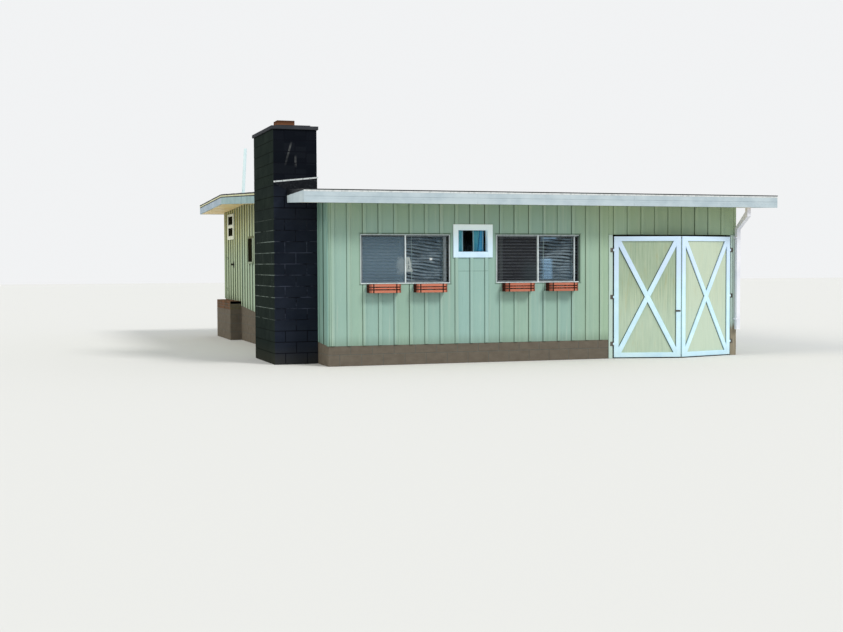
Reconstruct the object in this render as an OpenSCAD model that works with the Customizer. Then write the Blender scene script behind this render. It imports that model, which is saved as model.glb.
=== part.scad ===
// Lakeside boathouse: low gable roof, board siding, block chimney and a pair of braced boat doors.
// X runs along the water wall to the right, Y runs back from it and Z is up.
// The origin is the outer front left corner of the walls, on the ground line at the boat doors.

/* [Walls] */
// Length of the water wall
wall_length = 8280; // [8200:10:9000]
// Depth of the building from the water wall to the back wall
wall_depth = 11000; // [10980:10:11600]
// Thickness of a wall with its siding and inner lining
wall_thick = 130; // [110:5:180]
// Pitch of the vertical siding boards on the water wall and the back wall
board_pitch = 292; // [250:1:320]
// Pitch of the vertical siding boards on the side walls
side_board_pitch = 326.5; // [300:0.5:340]
// Distance from the left corner to the first groove of the water wall
groove_start = 52; // [0:1:60]
// Width of the groove between two siding boards
groove_width = 12; // [6:1:18]
// Depth of the groove between two siding boards
groove_depth = 8; // [4:1:12]
// Height of the lower edge of the siding at the water wall
siding_low = 360; // [300:10:420]
// Height of the lower edge of the siding at the back wall
siding_high = 960; // [800:10:1000]
// Level of the room floor behind the row of windows
room_floor_level = 430; // [400:10:480]
// Level of the rear floor at the side door
rear_floor_level = 930; // [860:10:935]

/* [Roof] */
// Overhang of the roof past the water wall
front_overhang = 572; // [450:1:700]
// Overhang of the roof past the left, right and back walls
side_overhang = 558; // [450:1:700]
// Distance from the water wall back to the ridge
ridge_back = 8154; // [7800:1:8400]
// Height of the soffit at the front edge
soffit_front = 2889; // [2880:1:2950]
// Height of the soffit under the ridge
soffit_ridge = 3258; // [3200:1:3400]
// Height of the soffit at the back edge
soffit_back = 3150; // [3120:1:3190]
// Depth of the roof from the soffit to the deck
roof_depth = 212; // [190:1:240]
// Thickness of a fascia or rake board
fascia_thick = 22; // [18:1:30]

/* [Chimney] */
// Length of a concrete block with its joint
block_length = 406; // [400:1:410]
// Height of a course of blocks with its joint
course_height = 203.2; // [200:0.1:206]
// Blocks across the front of the stack
blocks_across = 2; // [2]
// Half blocks along the side of the stack
half_blocks_along = 9; // [8:1:10]
// Courses in the stack
stack_courses = 21; // [20:1:23]
// Distance from the water wall back to the stack
stack_back = 780; // [760:1:820]

/* [Windows] */
// Width of a front window
window_width = 1700; // [1500:10:1720]
// Height of a front window
window_height = 890; // [800:10:920]
// Distance that the right sash of a front window stands open
sash_open = 60; // [0:5:120]
// Height of the sill of the front windows
window_sill = 1465; // [1450:1:1500]
// Centre of the left front window
window_left_x = 1445; // [1400:1:1480]
// Centre of the right front window
window_right_x = 4047; // [4000:1:4080]
// Height of a planter box
planter_height = 170; // [140:5:200]
// Length of a planter box
planter_length = 656; // [560:2:700]
// Depth of a planter box
planter_depth = 180; // [150:5:220]

/* [Doors] */
// Place of the left boat door's hinge pins along the water wall
boat_hinge_left = 5590; // [5580:1:5600]
// Place of the right boat door's hinge pins along the water wall
boat_hinge_right = 8140; // [8135:1:8150]
// Width of a boat door leaf from its hinge pin
leaf_width = 1305; // [1290:1:1305]
// Height of a boat door leaf
leaf_height = 2310; // [2200:10:2320]
// Angle at which the shut leaves meet in front of the wall
leaf_angle = 15; // [15:0.5:18]
// Width of the boards that frame and brace a leaf
brace_width = 89; // [70:1:100]
// Width of the side door leaf
side_leaf_width = 1056; // [900:2:1060]
// Height of the side door leaf
side_leaf_height = 2150; // [2000:10:2160]

/* [Hidden] */
$fn = 48;

joint = 1;
side_groove_start = -9;
roofing_thick = 14;
front_edge = -front_overhang;
back_edge = wall_depth + side_overhang;
left_edge = -side_overhang;
right_edge = wall_length + side_overhang;
stack_width = blocks_across * block_length - 6;
stack_depth = half_blocks_along * block_length / 2;
stack_top = stack_courses * course_height;
stack_gap = 6;
front_wall_end = boat_hinge_left - 90;
door_head = 2362;
leaf_bottom = 20;
pin_y = -30;
panel_thick = 18;
board_thick = 19;
hinge_heights = [260, 1155, 2050];
side_pin = [-9, 10616];
side_leaf_bottom = 950;
side_hinge_heights = [250, 1040, 1830];
side_lite_margin = 150;
side_lites = [[92, 290], [373, 580]];
side_surround_y = [side_pin[1] - side_leaf_width + 46, side_pin[1] - 86];
side_surround_z = [side_leaf_bottom + 1503, side_leaf_bottom + side_leaf_height - 4];
side_opening = [side_pin[1] - side_leaf_width - 12, side_pin[1] + 4];
side_head = side_leaf_bottom + side_leaf_height + 8;
small_x = 2738;
small_z = 2238;
small_width = 592;
small_height = 428;
small_trim = 90;
side_window_y = 7370;
side_window_z = 1890;
side_window_width = 440;
side_window_height = 540;
vent_foot = [116, 9000];
vent_top = 4656;
vent_lean = 3.3;
vent_width = 75;
upstand = [166, 252];
planter_reach = 440;
planter_top = window_sill - 4;
planter_gap = 18;
planter_narrow = 28;
frame_depth = 76;
sash_face = 22;
frame_face = 20;

wall_green = "#9fc3a6";
trim_white = "#eef1f0";
chimney_black = "#25262d";
roof_dark = "#2f3033";

// Height of the soffit plane at distance y from the water wall
function soffit(y) = y < ridge_back
  ? soffit_front + (soffit_ridge - soffit_front) * (y - front_edge) / (ridge_back - front_edge)
  : soffit_ridge + (soffit_back - soffit_ridge) * (y - ridge_back) / (back_edge - ridge_back);
// Height of the top of a wall, with a fine joint under the soffit
function wall_top(y) = soffit(y) - joint;
// Height of the lower edge of the siding at distance y from the water wall
function siding_base(y) = siding_low + (siding_high - siding_low) * y / wall_depth;

// A flat outline in Y and Z, carried along X
module along_x(points, x0, x1) {
  translate([x0, 0, 0]) rotate([90, 0, 90]) linear_extrude(x1 - x0) polygon(points);
}

// A block given by its lowest and highest corners
module block(low, high) {
  translate(low) cube(high - low);
}

// Grooves between the boards of a wall that faces along Y
module grooves_facing_y(x0, x1, y_face, inward, z0, z1) {
  first = ceil((x0 + 30 - groove_start) / board_pitch);
  last = floor((x1 - 30 - groove_start) / board_pitch);
  for (i = [first : last])
    translate([groove_start + i * board_pitch - groove_width / 2, y_face - (inward > 0 ? 1 : groove_depth), z0 - 1])
      cube([groove_width, groove_depth + 1, z1 - z0 + 2]);
}

// Grooves between the boards of a wall that faces along X
module grooves_facing_x(y0, y1, x_face, inward, z0, z1) {
  first = ceil((y0 + 30 - side_groove_start) / side_board_pitch);
  last = floor((y1 - 30 - side_groove_start) / side_board_pitch);
  for (i = [first : last])
    translate([x_face - (inward > 0 ? 1 : groove_depth),
      side_groove_start + i * side_board_pitch - groove_width / 2, z0 - 1])
      cube([groove_depth + 1, groove_width, z1 - z0 + 2]);
}

module foundation_front() {
  color("#a8a39a") block([0, 0, 0], [front_wall_end, 200, siding_low - joint]);
}

module foundation_side(x0, x1) {
  color("#a8a39a") along_x([[200, 0], [wall_depth - 200, 0],
    [wall_depth - 200, siding_base(wall_depth - 200) - joint], [200, siding_base(200) - joint]], x0, x1);
}

module foundation_left() {
  foundation_side(0, 200);
}

module foundation_right() {
  foundation_side(wall_length - 200, wall_length);
}

module foundation_back() {
  color("#a8a39a") along_x([[wall_depth - 200, 0], [wall_depth, 0],
    [wall_depth, siding_high - joint], [wall_depth - 200, siding_base(wall_depth - 200) - joint]],
    0, wall_length);
}

module room_floor() {
  color("#b5b2ab") block([202, 202, room_floor_level - 130], [front_wall_end - 2, 8298, room_floor_level]);
}

module rear_floor() {
  color("#b5b2ab") block([202, 8302, rear_floor_level - 130],
    [wall_length - 202, wall_depth - 202, rear_floor_level]);
}

module bay_floor() {
  color("#b5b2ab") block([front_wall_end + 2, 150, 0], [wall_length - 202, 8298, 100]);
}

// Water wall between the left corner and the boat doors
module front_wall() {
  color(wall_green) difference() {
    along_x([[0, siding_low], [wall_thick, siding_low],
      [wall_thick, wall_top(wall_thick)], [0, wall_top(0)]], 0, front_wall_end);
    grooves_facing_y(0, front_wall_end, 0, 1, siding_low, soffit(0));
    for (x = [window_left_x, window_right_x])
      block([x - window_width / 2, -20, window_sill],
        [x + window_width / 2, wall_thick + 20, window_sill + window_height]);
    block([small_x - small_width / 2, -20, small_z - small_height / 2],
      [small_x + small_width / 2, wall_thick + 20, small_z + small_height / 2]);
  }
}

module front_wall_over_doors() {
  color(wall_green) difference() {
    along_x([[0, door_head], [wall_thick, door_head],
      [wall_thick, wall_top(wall_thick)], [0, wall_top(0)]], front_wall_end, wall_length);
    grooves_facing_y(front_wall_end, wall_length - 100, 0, 1, door_head, soffit(0));
  }
}

// Posts at the two sides of the boat doorway
module door_posts() {
  color(wall_green) {
    block([front_wall_end, -board_thick, 0], [boat_hinge_left - 12, 140, door_head]);
    block([boat_hinge_right + 12, -board_thick, 0], [wall_length, 140, door_head]);
  }
}

// Side wall outline between two distances from the water wall
module side_wall(y0, y1, x0, x1) {
  mid = (y0 < ridge_back && y1 > ridge_back) ? [[ridge_back, wall_top(ridge_back)]] : [];
  along_x(concat([[y0, siding_base(y0)], [y1, siding_base(y1)], [y1, wall_top(y1)]], mid,
    [[y0, wall_top(y0)]]), x0, x1);
}

module left_wall_front() {
  color(wall_green) difference() {
    side_wall(wall_thick, side_opening[0], 0, wall_thick);
    grooves_facing_x(wall_thick, side_opening[0], 0, 1, siding_low, soffit_ridge);
    block([-20, side_window_y - side_window_width / 2, side_window_z],
      [wall_thick + 20, side_window_y + side_window_width / 2, side_window_z + side_window_height]);
  }
}

module left_wall_over_door() {
  y0 = side_opening[0];
  y1 = side_opening[1];
  color(wall_green) difference() {
    along_x([[y0, side_head], [y1, side_head], [y1, wall_top(y1)], [y0, wall_top(y0)]], 0, wall_thick);
    grooves_facing_x(y0, y1, 0, 1, side_head, soffit_ridge);
  }
}

module left_wall_rear() {
  color(wall_green) difference() {
    side_wall(side_opening[1], wall_depth, 0, wall_thick);
    grooves_facing_x(side_opening[1], wall_depth, 0, 1, siding_low, soffit_ridge);
  }
}

module back_wall() {
  color(wall_green) difference() {
    along_x([[wall_depth - wall_thick, siding_base(wall_depth - wall_thick)], [wall_depth, siding_high],
      [wall_depth, wall_top(wall_depth)], [wall_depth - wall_thick, wall_top(wall_depth - wall_thick)]],
      wall_thick, wall_length - wall_thick);
    grooves_facing_y(wall_thick, wall_length - wall_thick, wall_depth, -1, siding_low, soffit_ridge);
  }
}

module right_wall() {
  color(wall_green) difference() {
    side_wall(140, wall_depth, wall_length - wall_thick, wall_length);
    grooves_facing_x(140, wall_depth, wall_length, -1, siding_low, soffit_ridge);
  }
}

// Notch in the roof for the chimney stack and its upstand
module stack_notch() {
  block([left_edge - 200, stack_back - 9, 2000], [2, stack_back + stack_depth + 9, 5000]);
}

// One slope of the roof between two heights above the soffit
module slope(y0, y1, low, high, x0, x1) {
  along_x([[y0, soffit(y0) + low], [y1, soffit(y1) + low], [y1, soffit(y1) + high],
    [y0, soffit(y0) + high]], x0, x1);
}

module roof_front() {
  color(trim_white) difference() {
    slope(front_edge + fascia_thick, ridge_back, 0, roof_depth,
      left_edge + fascia_thick, right_edge - fascia_thick);
    stack_notch();
  }
}

module roof_back() {
  color(trim_white) slope(ridge_back, back_edge - fascia_thick, 0, roof_depth,
    left_edge + fascia_thick, right_edge - fascia_thick);
}

module roofing_front() {
  color(roof_dark) difference() {
    slope(front_edge - 6, ridge_back, roof_depth + joint, roof_depth + roofing_thick,
      left_edge - 6, right_edge + 6);
    stack_notch();
  }
  color(roof_dark) slope(front_edge + fascia_thick, stack_back - 9, 151, roof_depth + joint,
    left_edge, left_edge + fascia_thick - joint);
}

module roofing_back() {
  color(roof_dark) slope(ridge_back, back_edge + 6, roof_depth + joint, roof_depth + roofing_thick,
    left_edge - 6, right_edge + 6);
}

module fascia_front() {
  color(trim_white) slope(front_edge, front_edge + fascia_thick, -6, roof_depth, left_edge, right_edge);
}

module fascia_back() {
  color(trim_white) slope(back_edge - fascia_thick, back_edge, -6, roof_depth, left_edge, right_edge);
}

module rake(y0, y1, x0) {
  slope(y0, min(y1, ridge_back), -6, roof_depth, x0, x0 + fascia_thick);
  if (y1 > ridge_back)
    slope(ridge_back, y1, -6, roof_depth, x0, x0 + fascia_thick);
}

module rake_left_front() {
  color(trim_white) slope(front_edge + fascia_thick, stack_back - 9, -6, 150,
    left_edge, left_edge + fascia_thick);
}

module rake_left_rear() {
  color(trim_white) rake(stack_back + stack_depth + 9, back_edge - fascia_thick, left_edge);
}

module rake_right() {
  color(trim_white) rake(front_edge + fascia_thick, back_edge - fascia_thick, right_edge - fascia_thick);
}

// Square downspout before the right door post, offset under the eave, in clamps that reach back to the post
module downspout() {
  pipe = 78;
  left = wall_length - 44;
  drop_y = -70;
  eave_y = -430;
  bend = [2500, 2720];
  color(trim_white) {
    difference() {
      union() {
        block([left, drop_y - pipe / 2, 510], [left + pipe, drop_y + pipe / 2, bend[0]]);
        translate([left, 0, 0]) rotate([90, 0, 90]) linear_extrude(pipe)
          polygon([[drop_y + pipe / 2, bend[0]], [drop_y - pipe / 2, bend[0] - pipe * 0.4],
            [eave_y - pipe / 2, bend[1]], [eave_y - pipe / 2, bend[1] + pipe],
            [eave_y + pipe / 2, bend[1] + pipe * 1.1]]);
        block([left, eave_y - pipe / 2, bend[1]], [left + pipe, eave_y + pipe / 2, soffit(-470) - 2]);
      }
      block([left + 2, drop_y - pipe / 2 + 2, 500], [left + pipe - 2, drop_y + pipe / 2 - 2, 900]);
    }
    for (z = [700, 2300])
      block([left - 20, drop_y - pipe / 2 - 3, z], [left + pipe + 3, -board_thick, z + 30]);
  }
}

module chimney_stack() {
  x1 = -stack_gap;
  color(chimney_black) difference() {
    block([x1 - stack_width, stack_back, 0], [x1, stack_back + stack_depth, stack_top]);
    for (i = [1 : stack_courses - 1])
      difference() {
        block([x1 - stack_width - 10, stack_back - 10, i * course_height - 5],
          [x1 + 10, stack_back + stack_depth + 10, i * course_height + 5]);
        block([x1 - stack_width + 5, stack_back + 5, i * course_height - 10],
          [x1 - 5, stack_back + stack_depth - 5, i * course_height + 10]);
      }
    translate([x1 - stack_width / 2, stack_back + stack_depth / 2, stack_top - 900])
      translate([-165, -165, 0]) cube([330, 330, 1000]);
  }
}

module chimney_crown() {
  x1 = -stack_gap;
  color("#3a3b40") difference() {
    translate([x1 - stack_width - 30, stack_back - 30, stack_top]) union() {
      cube([stack_width + 60, stack_depth + 60, 60]);
      translate([120, 120, 60]) cube([stack_width - 180, stack_depth - 180, 25]);
    }
    translate([x1 - stack_width / 2 - 175, stack_back + stack_depth / 2 - 175, stack_top - 10])
      cube([350, 350, 200]);
  }
}

module flue_tile() {
  color("#a5714f") translate([-stack_gap - stack_width / 2, stack_back + stack_depth / 2, stack_top])
    difference() {
      translate([-165, -165, 0]) cube([330, 330, 240]);
      translate([-135, -135, -10]) cube([270, 270, 300]);
    }
}

// Bitumen upstand round the stack, higher towards the wall in front
module chimney_flashing() {
  y0 = stack_back;
  y1 = stack_back + stack_depth;
  low = soffit(y0) + roof_depth + roofing_thick - 20;
  left = -stack_gap - stack_width;
  rise = soffit(y1) - soffit(y0);
  color("#1b1c20") {
    translate([0, y0, 0]) rotate([90, 0, 0]) linear_extrude(7)
      polygon([[left, low + upstand[0] - 4], [left_edge - 8, low], [1, low], [1, low + upstand[1]],
        [left, low + upstand[0]]]);
    along_x([[y0 - 7, low], [y1 + 7, low + rise], [y1 + 7, low + rise + 120], [y0 - 7, low + upstand[1]]],
      -stack_gap, 1);
    block([left_edge - 8, y1, low + rise], [1, y1 + 7, low + rise + 120]);
  }
}

// Metal bar that clamps the sloping top of the upstand to the front of the stack
module flashing_bar() {
  left = -stack_gap - stack_width;
  low = soffit(stack_back) + roof_depth + roofing_thick - 20;
  tilt = atan2(upstand[1] - upstand[0], 20 - left);
  color("#c9cfcd") translate([left + 6, stack_back - 7, low + upstand[0] - 14]) rotate([90, -tilt, 0])
    linear_extrude(5) square([(14 - left) / cos(tilt), 26]);
}

// Leaning plastic vent pipe in a boot on the back slope
module vent_pipe() {
  foot_z = soffit(vent_foot[1]) + roof_depth + roofing_thick;
  r = vent_width / 2;
  length = vent_top - foot_z;
  color("#e6e9ea") translate([vent_foot[0], vent_foot[1], foot_z]) {
    rotate([atan2(soffit_back - soffit_ridge, back_edge - ridge_back), 0, 0]) rotate_extrude()
      polygon([[0, 1], [150, 1], [150, 7], [r + 26, 9], [r + 8, 80], [r + 6, 84], [0, 84]]);
    rotate([0, vent_lean, 0]) rotate_extrude()
      polygon([[0, 20], [r, 20], [r, length], [r - 6, length], [r - 6, length - 400], [0, length - 400]]);
  }
}

// Two panel sliding window, w by h, with its lower left corner at the origin and its inner sash drawn back
module slider_frame(w, h) {
  rotate([90, 0, 0]) translate([0, 0, -frame_depth]) {
    linear_extrude(frame_depth) difference() {
      square([w, h]);
      translate([frame_face, frame_face]) square([w - 2 * frame_face, h - 2 * frame_face]);
    }
    sash_w = w / 2 - frame_face + 14;
    translate([frame_face, frame_face, 40]) sash(sash_w, h - 2 * frame_face);
    translate([w - frame_face - sash_w - sash_open, frame_face, 12]) sash(sash_w, h - 2 * frame_face);
  }
}

module sash(w, h) {
  linear_extrude(22) difference() {
    square([w, h]);
    translate([sash_face, sash_face]) square([w - 2 * sash_face, h - 2 * sash_face]);
  }
}

module front_window_left() {
  color("#c9cfcd") translate([window_left_x - window_width / 2, 4, window_sill])
    slider_frame(window_width, window_height);
}

module front_window_right() {
  color("#c9cfcd") translate([window_right_x - window_width / 2, 4, window_sill])
    slider_frame(window_width, window_height);
}

// White board trim round the small window with its sash frame
module small_window() {
  w = small_width;
  h = small_height;
  color(trim_white) translate([small_x - w / 2, 0, small_z - h / 2]) rotate([90, 0, 0]) {
    linear_extrude(22) difference() {
      translate([-small_trim, -small_trim]) square([w + 2 * small_trim, h + 2 * small_trim]);
      translate([8, 8]) square([w - 16, h - 16]);
    }
    translate([0, 0, -70]) linear_extrude(70) difference() {
      square([w, h]);
      translate([18, 18]) square([w - 36, h - 36]);
    }
  }
}

// Fixed side window with board trim, wider on the side nearer the water, and a sill
module side_window() {
  w = side_window_width;
  h = side_window_height;
  color(trim_white) translate([0, side_window_y + w / 2, side_window_z]) rotate([0, 0, -90]) {
    rotate([90, 0, 0]) {
      linear_extrude(20) difference() {
        translate([-50, -10]) square([w + 200, h + 60]);
        translate([8, 8]) square([w - 16, h - 16]);
      }
      translate([0, 0, -76]) linear_extrude(76) difference() {
        square([w, h]);
        translate([28, 28]) square([w - 56, h - 56]);
      }
    }
    translate([-70, -46, -44]) cube([w + 240, 46, 34]);
  }
}

module window_glass() {
  border = frame_face + sash_face + 1;
  pane = window_width / 2 + 14 - frame_face - 2 * sash_face - 2;
  color("#6f7f86") {
    for (x = [window_left_x, window_right_x]) {
      translate([x - window_width / 2 + border, 27, window_sill + border])
        cube([pane, 4, window_height - 2 * border]);
      translate([x + window_width / 2 - border - pane - sash_open, 55, window_sill + border])
        cube([pane, 4, window_height - 2 * border]);
    }
    translate([small_x - small_width / 2 + 18, 40, small_z - small_height / 2 + 18])
      cube([small_width - 36, 4, small_height - 36]);
    translate([40, side_window_y - side_window_width / 2 + 28, side_window_z + 28])
      cube([4, side_window_width - 56, side_window_height - 56]);
  }
}

module window_blinds() {
  color("#d9dcd8") for (x = [window_left_x, window_right_x])
    for (side = [-1, 1])
      translate([x + side * window_width / 4 - 395, 92, window_sill + 30])
        cube([790, 8, window_height - 50]);
}

// Two curtains parted in the middle, with soft folds
module curtain(w, h) {
  folds = 7;
  points = [for (i = [0 : 5 : folds * 36]) [w * i / (folds * 36), 9 * sin(i * 10)]];
  back = [for (i = [len(points) - 1 : -1 : 0]) [points[i][0], points[i][1] + 4]];
  linear_extrude(h) polygon(concat(points, back));
}

module small_window_curtains() {
  color("#4fa9a8") for (side = [0, 1])
    translate([small_x - small_width / 2 + 10 + side * (small_width - 220), 96, small_z - small_height / 2 + 5])
      curtain(200, small_height - 10);
}

// Planter box with a narrow slat between two wide ones, open at the top
module planter(x) {
  y0 = -planter_depth;
  z0 = planter_top - planter_height;
  wide = (planter_height - planter_narrow) / 2 - planter_gap;
  color("#c8512f") translate([x - planter_length / 2, y0, z0]) {
    for (face = [0, planter_depth - 16]) {
      translate([0, face, 0]) cube([planter_length, 14, wide]);
      translate([0, face, wide + planter_gap]) cube([planter_length, 14, planter_narrow]);
      translate([0, face, planter_height - wide]) cube([planter_length, 14, wide]);
    }
    for (end = [0, planter_length - 22])
      translate([end, 12, 0]) cube([22, planter_depth - 26, planter_height]);
    translate([20, 12, 0]) cube([planter_length - 40, planter_depth - 26, 14]);
    for (post = [planter_length * 0.3, planter_length * 0.66])
      translate([post, 12, 0]) cube([26, 10, planter_height]);
    for (post = [planter_length * 0.3, planter_length * 0.66])
      translate([post, planter_depth - 26, 0]) cube([26, 24, planter_height]);
  }
}

module planter_1() {
  planter(window_left_x - planter_reach);
}

module planter_2() {
  planter(window_left_x + planter_reach);
}

module planter_3() {
  planter(window_right_x - planter_reach);
}

module planter_4() {
  planter(window_right_x + planter_reach);
}

// Places a left leaf, built from its hinge pin along +X, at its shut angle
module place_left_leaf() {
  translate([boat_hinge_left, pin_y, leaf_bottom]) rotate([0, 0, -leaf_angle]) children();
}

// The right leaf is the left leaf's mirror image
module place_right_leaf() {
  translate([boat_hinge_right, pin_y, leaf_bottom]) mirror([1, 0, 0]) rotate([0, 0, -leaf_angle]) children();
}

module leaf_panel() {
  color("#c3d3a6") translate([12, board_thick, 0]) cube([leaf_width - 12, panel_thick, leaf_height]);
}

// A board from one point to another in the leaf's own plane
module brace(from, to) {
  run = to - from;
  translate(from) rotate(atan2(run[1], run[0]))
    translate([-200, -brace_width / 2]) square([norm(run) + 400, brace_width]);
}

// Stiles, rails and crossed braces on the outside of a leaf, with the leaf's half of each hinge
module leaf_frame() {
  b = brace_width;
  color(trim_white) rotate([90, 0, 0]) translate([0, 0, -board_thick]) linear_extrude(board_thick) {
    difference() {
      translate([12, 0]) square([leaf_width - 12, leaf_height]);
      translate([12 + b, b]) square([leaf_width - 12 - 2 * b, leaf_height - 2 * b]);
    }
    intersection() {
      translate([12 + b - 1, b - 1]) square([leaf_width - 10 - 2 * b, leaf_height + 2 - 2 * b]);
      union() {
        brace([12 + b, b], [leaf_width - b, leaf_height - b]);
        brace([12 + b, leaf_height - b], [leaf_width - b, b]);
      }
    }
  }
  color("#55524c") for (z = hinge_heights)
    difference() {
      union() {
        translate([0, 0, z - 20]) cylinder(r = 9, h = 40);
        translate([0, -4, z - 18]) cube([12 + b - 10, 4, 36]);
      }
      translate([0, 0, z - 21]) cylinder(r = 4.6, h = 42);
    }
}

// Half hinges on a post, with their knuckles above and below the leaf's and the pin through all three
module pintles() {
  for (z = hinge_heights) {
    difference() {
      union() {
        for (end = [-41, 21])
          translate([0, 0, z + end]) cylinder(r = 9, h = 20);
        translate([-60, 7, z - 41]) cube([60, 4, 82]);
      }
      translate([0, 0, z - 21]) cylinder(r = 11, h = 42);
    }
    translate([0, 0, z - 41]) cylinder(r = 4, h = 82);
  }
}

module boat_door_hinge_pins() {
  color("#55524c") {
    translate([boat_hinge_left, pin_y, leaf_bottom]) pintles();
    translate([boat_hinge_right, pin_y, leaf_bottom]) mirror([1, 0, 0]) pintles();
  }
}

module boat_door_left_panel() {
  place_left_leaf() leaf_panel();
}

module boat_door_left_frame() {
  place_left_leaf() leaf_frame();
}

// Barrel bolt on the meeting stile of the left leaf
module boat_door_bolt() {
  color("#55524c") place_left_leaf() translate([leaf_width - 60, 0, 884]) {
    translate([-44, -4, -16]) cube([96, 4, 32]);
    translate([-36, -10, 0]) rotate([0, 90, 0]) cylinder(r = 6.5, h = 82);
    translate([-6, -30, -4]) cube([8, 24, 8]);
  }
}

module boat_door_right_panel() {
  place_right_leaf() leaf_panel();
}

module boat_door_right_frame() {
  place_right_leaf() leaf_frame();
}

// Lining of the side doorway with the stop that the leaf shuts against
module side_door_frame() {
  y0 = side_opening[0];
  y1 = side_opening[1];
  color(wall_green) {
    for (y = [y0, y1 - 22])
      block([56, y, side_leaf_bottom], [wall_thick + 6, y + 22, side_head]);
    block([56, y0 + 22, side_head - 22], [wall_thick + 6, y1 - 22, side_head]);
    along_x([[y0, siding_base(y0)], [y1, siding_base(y1)], [y1, side_leaf_bottom - 6],
      [y0, side_leaf_bottom - 6]], 0, wall_thick);
  }
}

// Plates and knuckles on the wall beside the side door, with the pins
module side_door_hinge_pins() {
  color("#55524c") for (z = side_hinge_heights)
    translate([side_pin[0], side_pin[1], side_leaf_bottom + z]) {
      difference() {
        union() {
          for (end = [-35, 18])
            translate([0, 0, end]) cylinder(r = 7, h = 17);
          translate([6, 0, -35]) cube([3, 48, 70]);
        }
        translate([0, 0, -18]) cylinder(r = 9, h = 36);
      }
      translate([0, 0, -35]) cylinder(r = 3, h = 70);
    }
}

module side_door_leaf() {
  y1 = side_pin[1] - 6;
  y0 = y1 - side_leaf_width + 6;
  color("#55524c") for (z = side_hinge_heights)
    translate([side_pin[0], side_pin[1], side_leaf_bottom + z]) difference() {
      union() {
        translate([0, 0, -17]) cylinder(r = 7, h = 34);
        translate([6, -50, -17]) cube([3, 50, 34]);
      }
      translate([0, 0, -18]) cylinder(r = 3.6, h = 36);
    }
  color(wall_green) difference() {
    block([0, y0, side_leaf_bottom], [44, y1, side_leaf_bottom + side_leaf_height - 4]);
    grooves_facing_x(y0, y1, 0, 1, side_leaf_bottom, side_head);
    block([-20, side_pin[1] - side_leaf_width + 190, side_leaf_bottom + 1590],
      [60, side_pin[1] - 230, side_leaf_bottom + 2100]);
  }
}

// The two openings of the side door's surround, one over the other, between two depths
module side_lite_openings(x0, x1) {
  for (lite = side_lites)
    block([x0, side_surround_y[0] + side_lite_margin, side_surround_z[0] + lite[0]],
      [x1, side_surround_y[1] - side_lite_margin, side_surround_z[0] + lite[1]]);
}

// White surround of the side door's two lites, planted on the leaf
module side_door_window() {
  color(trim_white) difference() {
    block([-20, side_surround_y[0], side_surround_z[0]], [0, side_surround_y[1], side_surround_z[1]]);
    side_lite_openings(-30, 10);
  }
}

// A pane in each opening of the surround, just behind its face
module side_door_glass() {
  color("#6f7f86") side_lite_openings(-15, -11);
}

module side_door_knob() {
  y = side_pin[1] - side_leaf_width + 120;
  z = side_leaf_bottom + 880;
  color("#3a342c") {
    translate([0, y, z]) rotate([0, -90, 0]) rotate_extrude()
      polygon([[0, 0], [32, 0], [32, 6], [12, 10], [11, 34], [24, 44], [28, 56], [24, 68], [12, 74], [0, 75]]);
    translate([44, y, z]) rotate([0, 90, 0]) rotate_extrude()
      polygon([[0, 0], [32, 0], [32, 6], [12, 10], [11, 34], [24, 44], [28, 56], [24, 68], [12, 74], [0, 75]]);
  }
}

module brick_step() {
  color("#9c5a45") block([-270, 8720, 0], [-2, 10700, 938]);
}

foundation_front();
foundation_left();
foundation_right();
foundation_back();
room_floor();
rear_floor();
bay_floor();
front_wall();
front_wall_over_doors();
door_posts();
left_wall_front();
left_wall_over_door();
left_wall_rear();
back_wall();
right_wall();
roof_front();
roof_back();
roofing_front();
roofing_back();
fascia_front();
fascia_back();
rake_left_front();
rake_left_rear();
rake_right();
downspout();
chimney_stack();
chimney_crown();
flue_tile();
chimney_flashing();
flashing_bar();
vent_pipe();
front_window_left();
front_window_right();
small_window();
side_window();
window_glass();
window_blinds();
small_window_curtains();
planter_1();
planter_2();
planter_3();
planter_4();
boat_door_hinge_pins();
boat_door_left_panel();
boat_door_left_frame();
boat_door_bolt();
boat_door_right_panel();
boat_door_right_frame();
side_door_frame();
side_door_hinge_pins();
side_door_leaf();
side_door_window();
side_door_glass();
side_door_knob();
brick_step();
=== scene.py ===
# %% [markdown]
# # A lakeside boathouse
# This lesson dresses a finished CAD model of a low timber boathouse: board siding, a shallow
# roof, a block chimney, sliding windows with planter boxes and two braced boat doors.
# The CAD model is the fixed frame. We load it first, so that every board, block and slat
# can be placed from the frame's own measurements, in metres.

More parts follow.
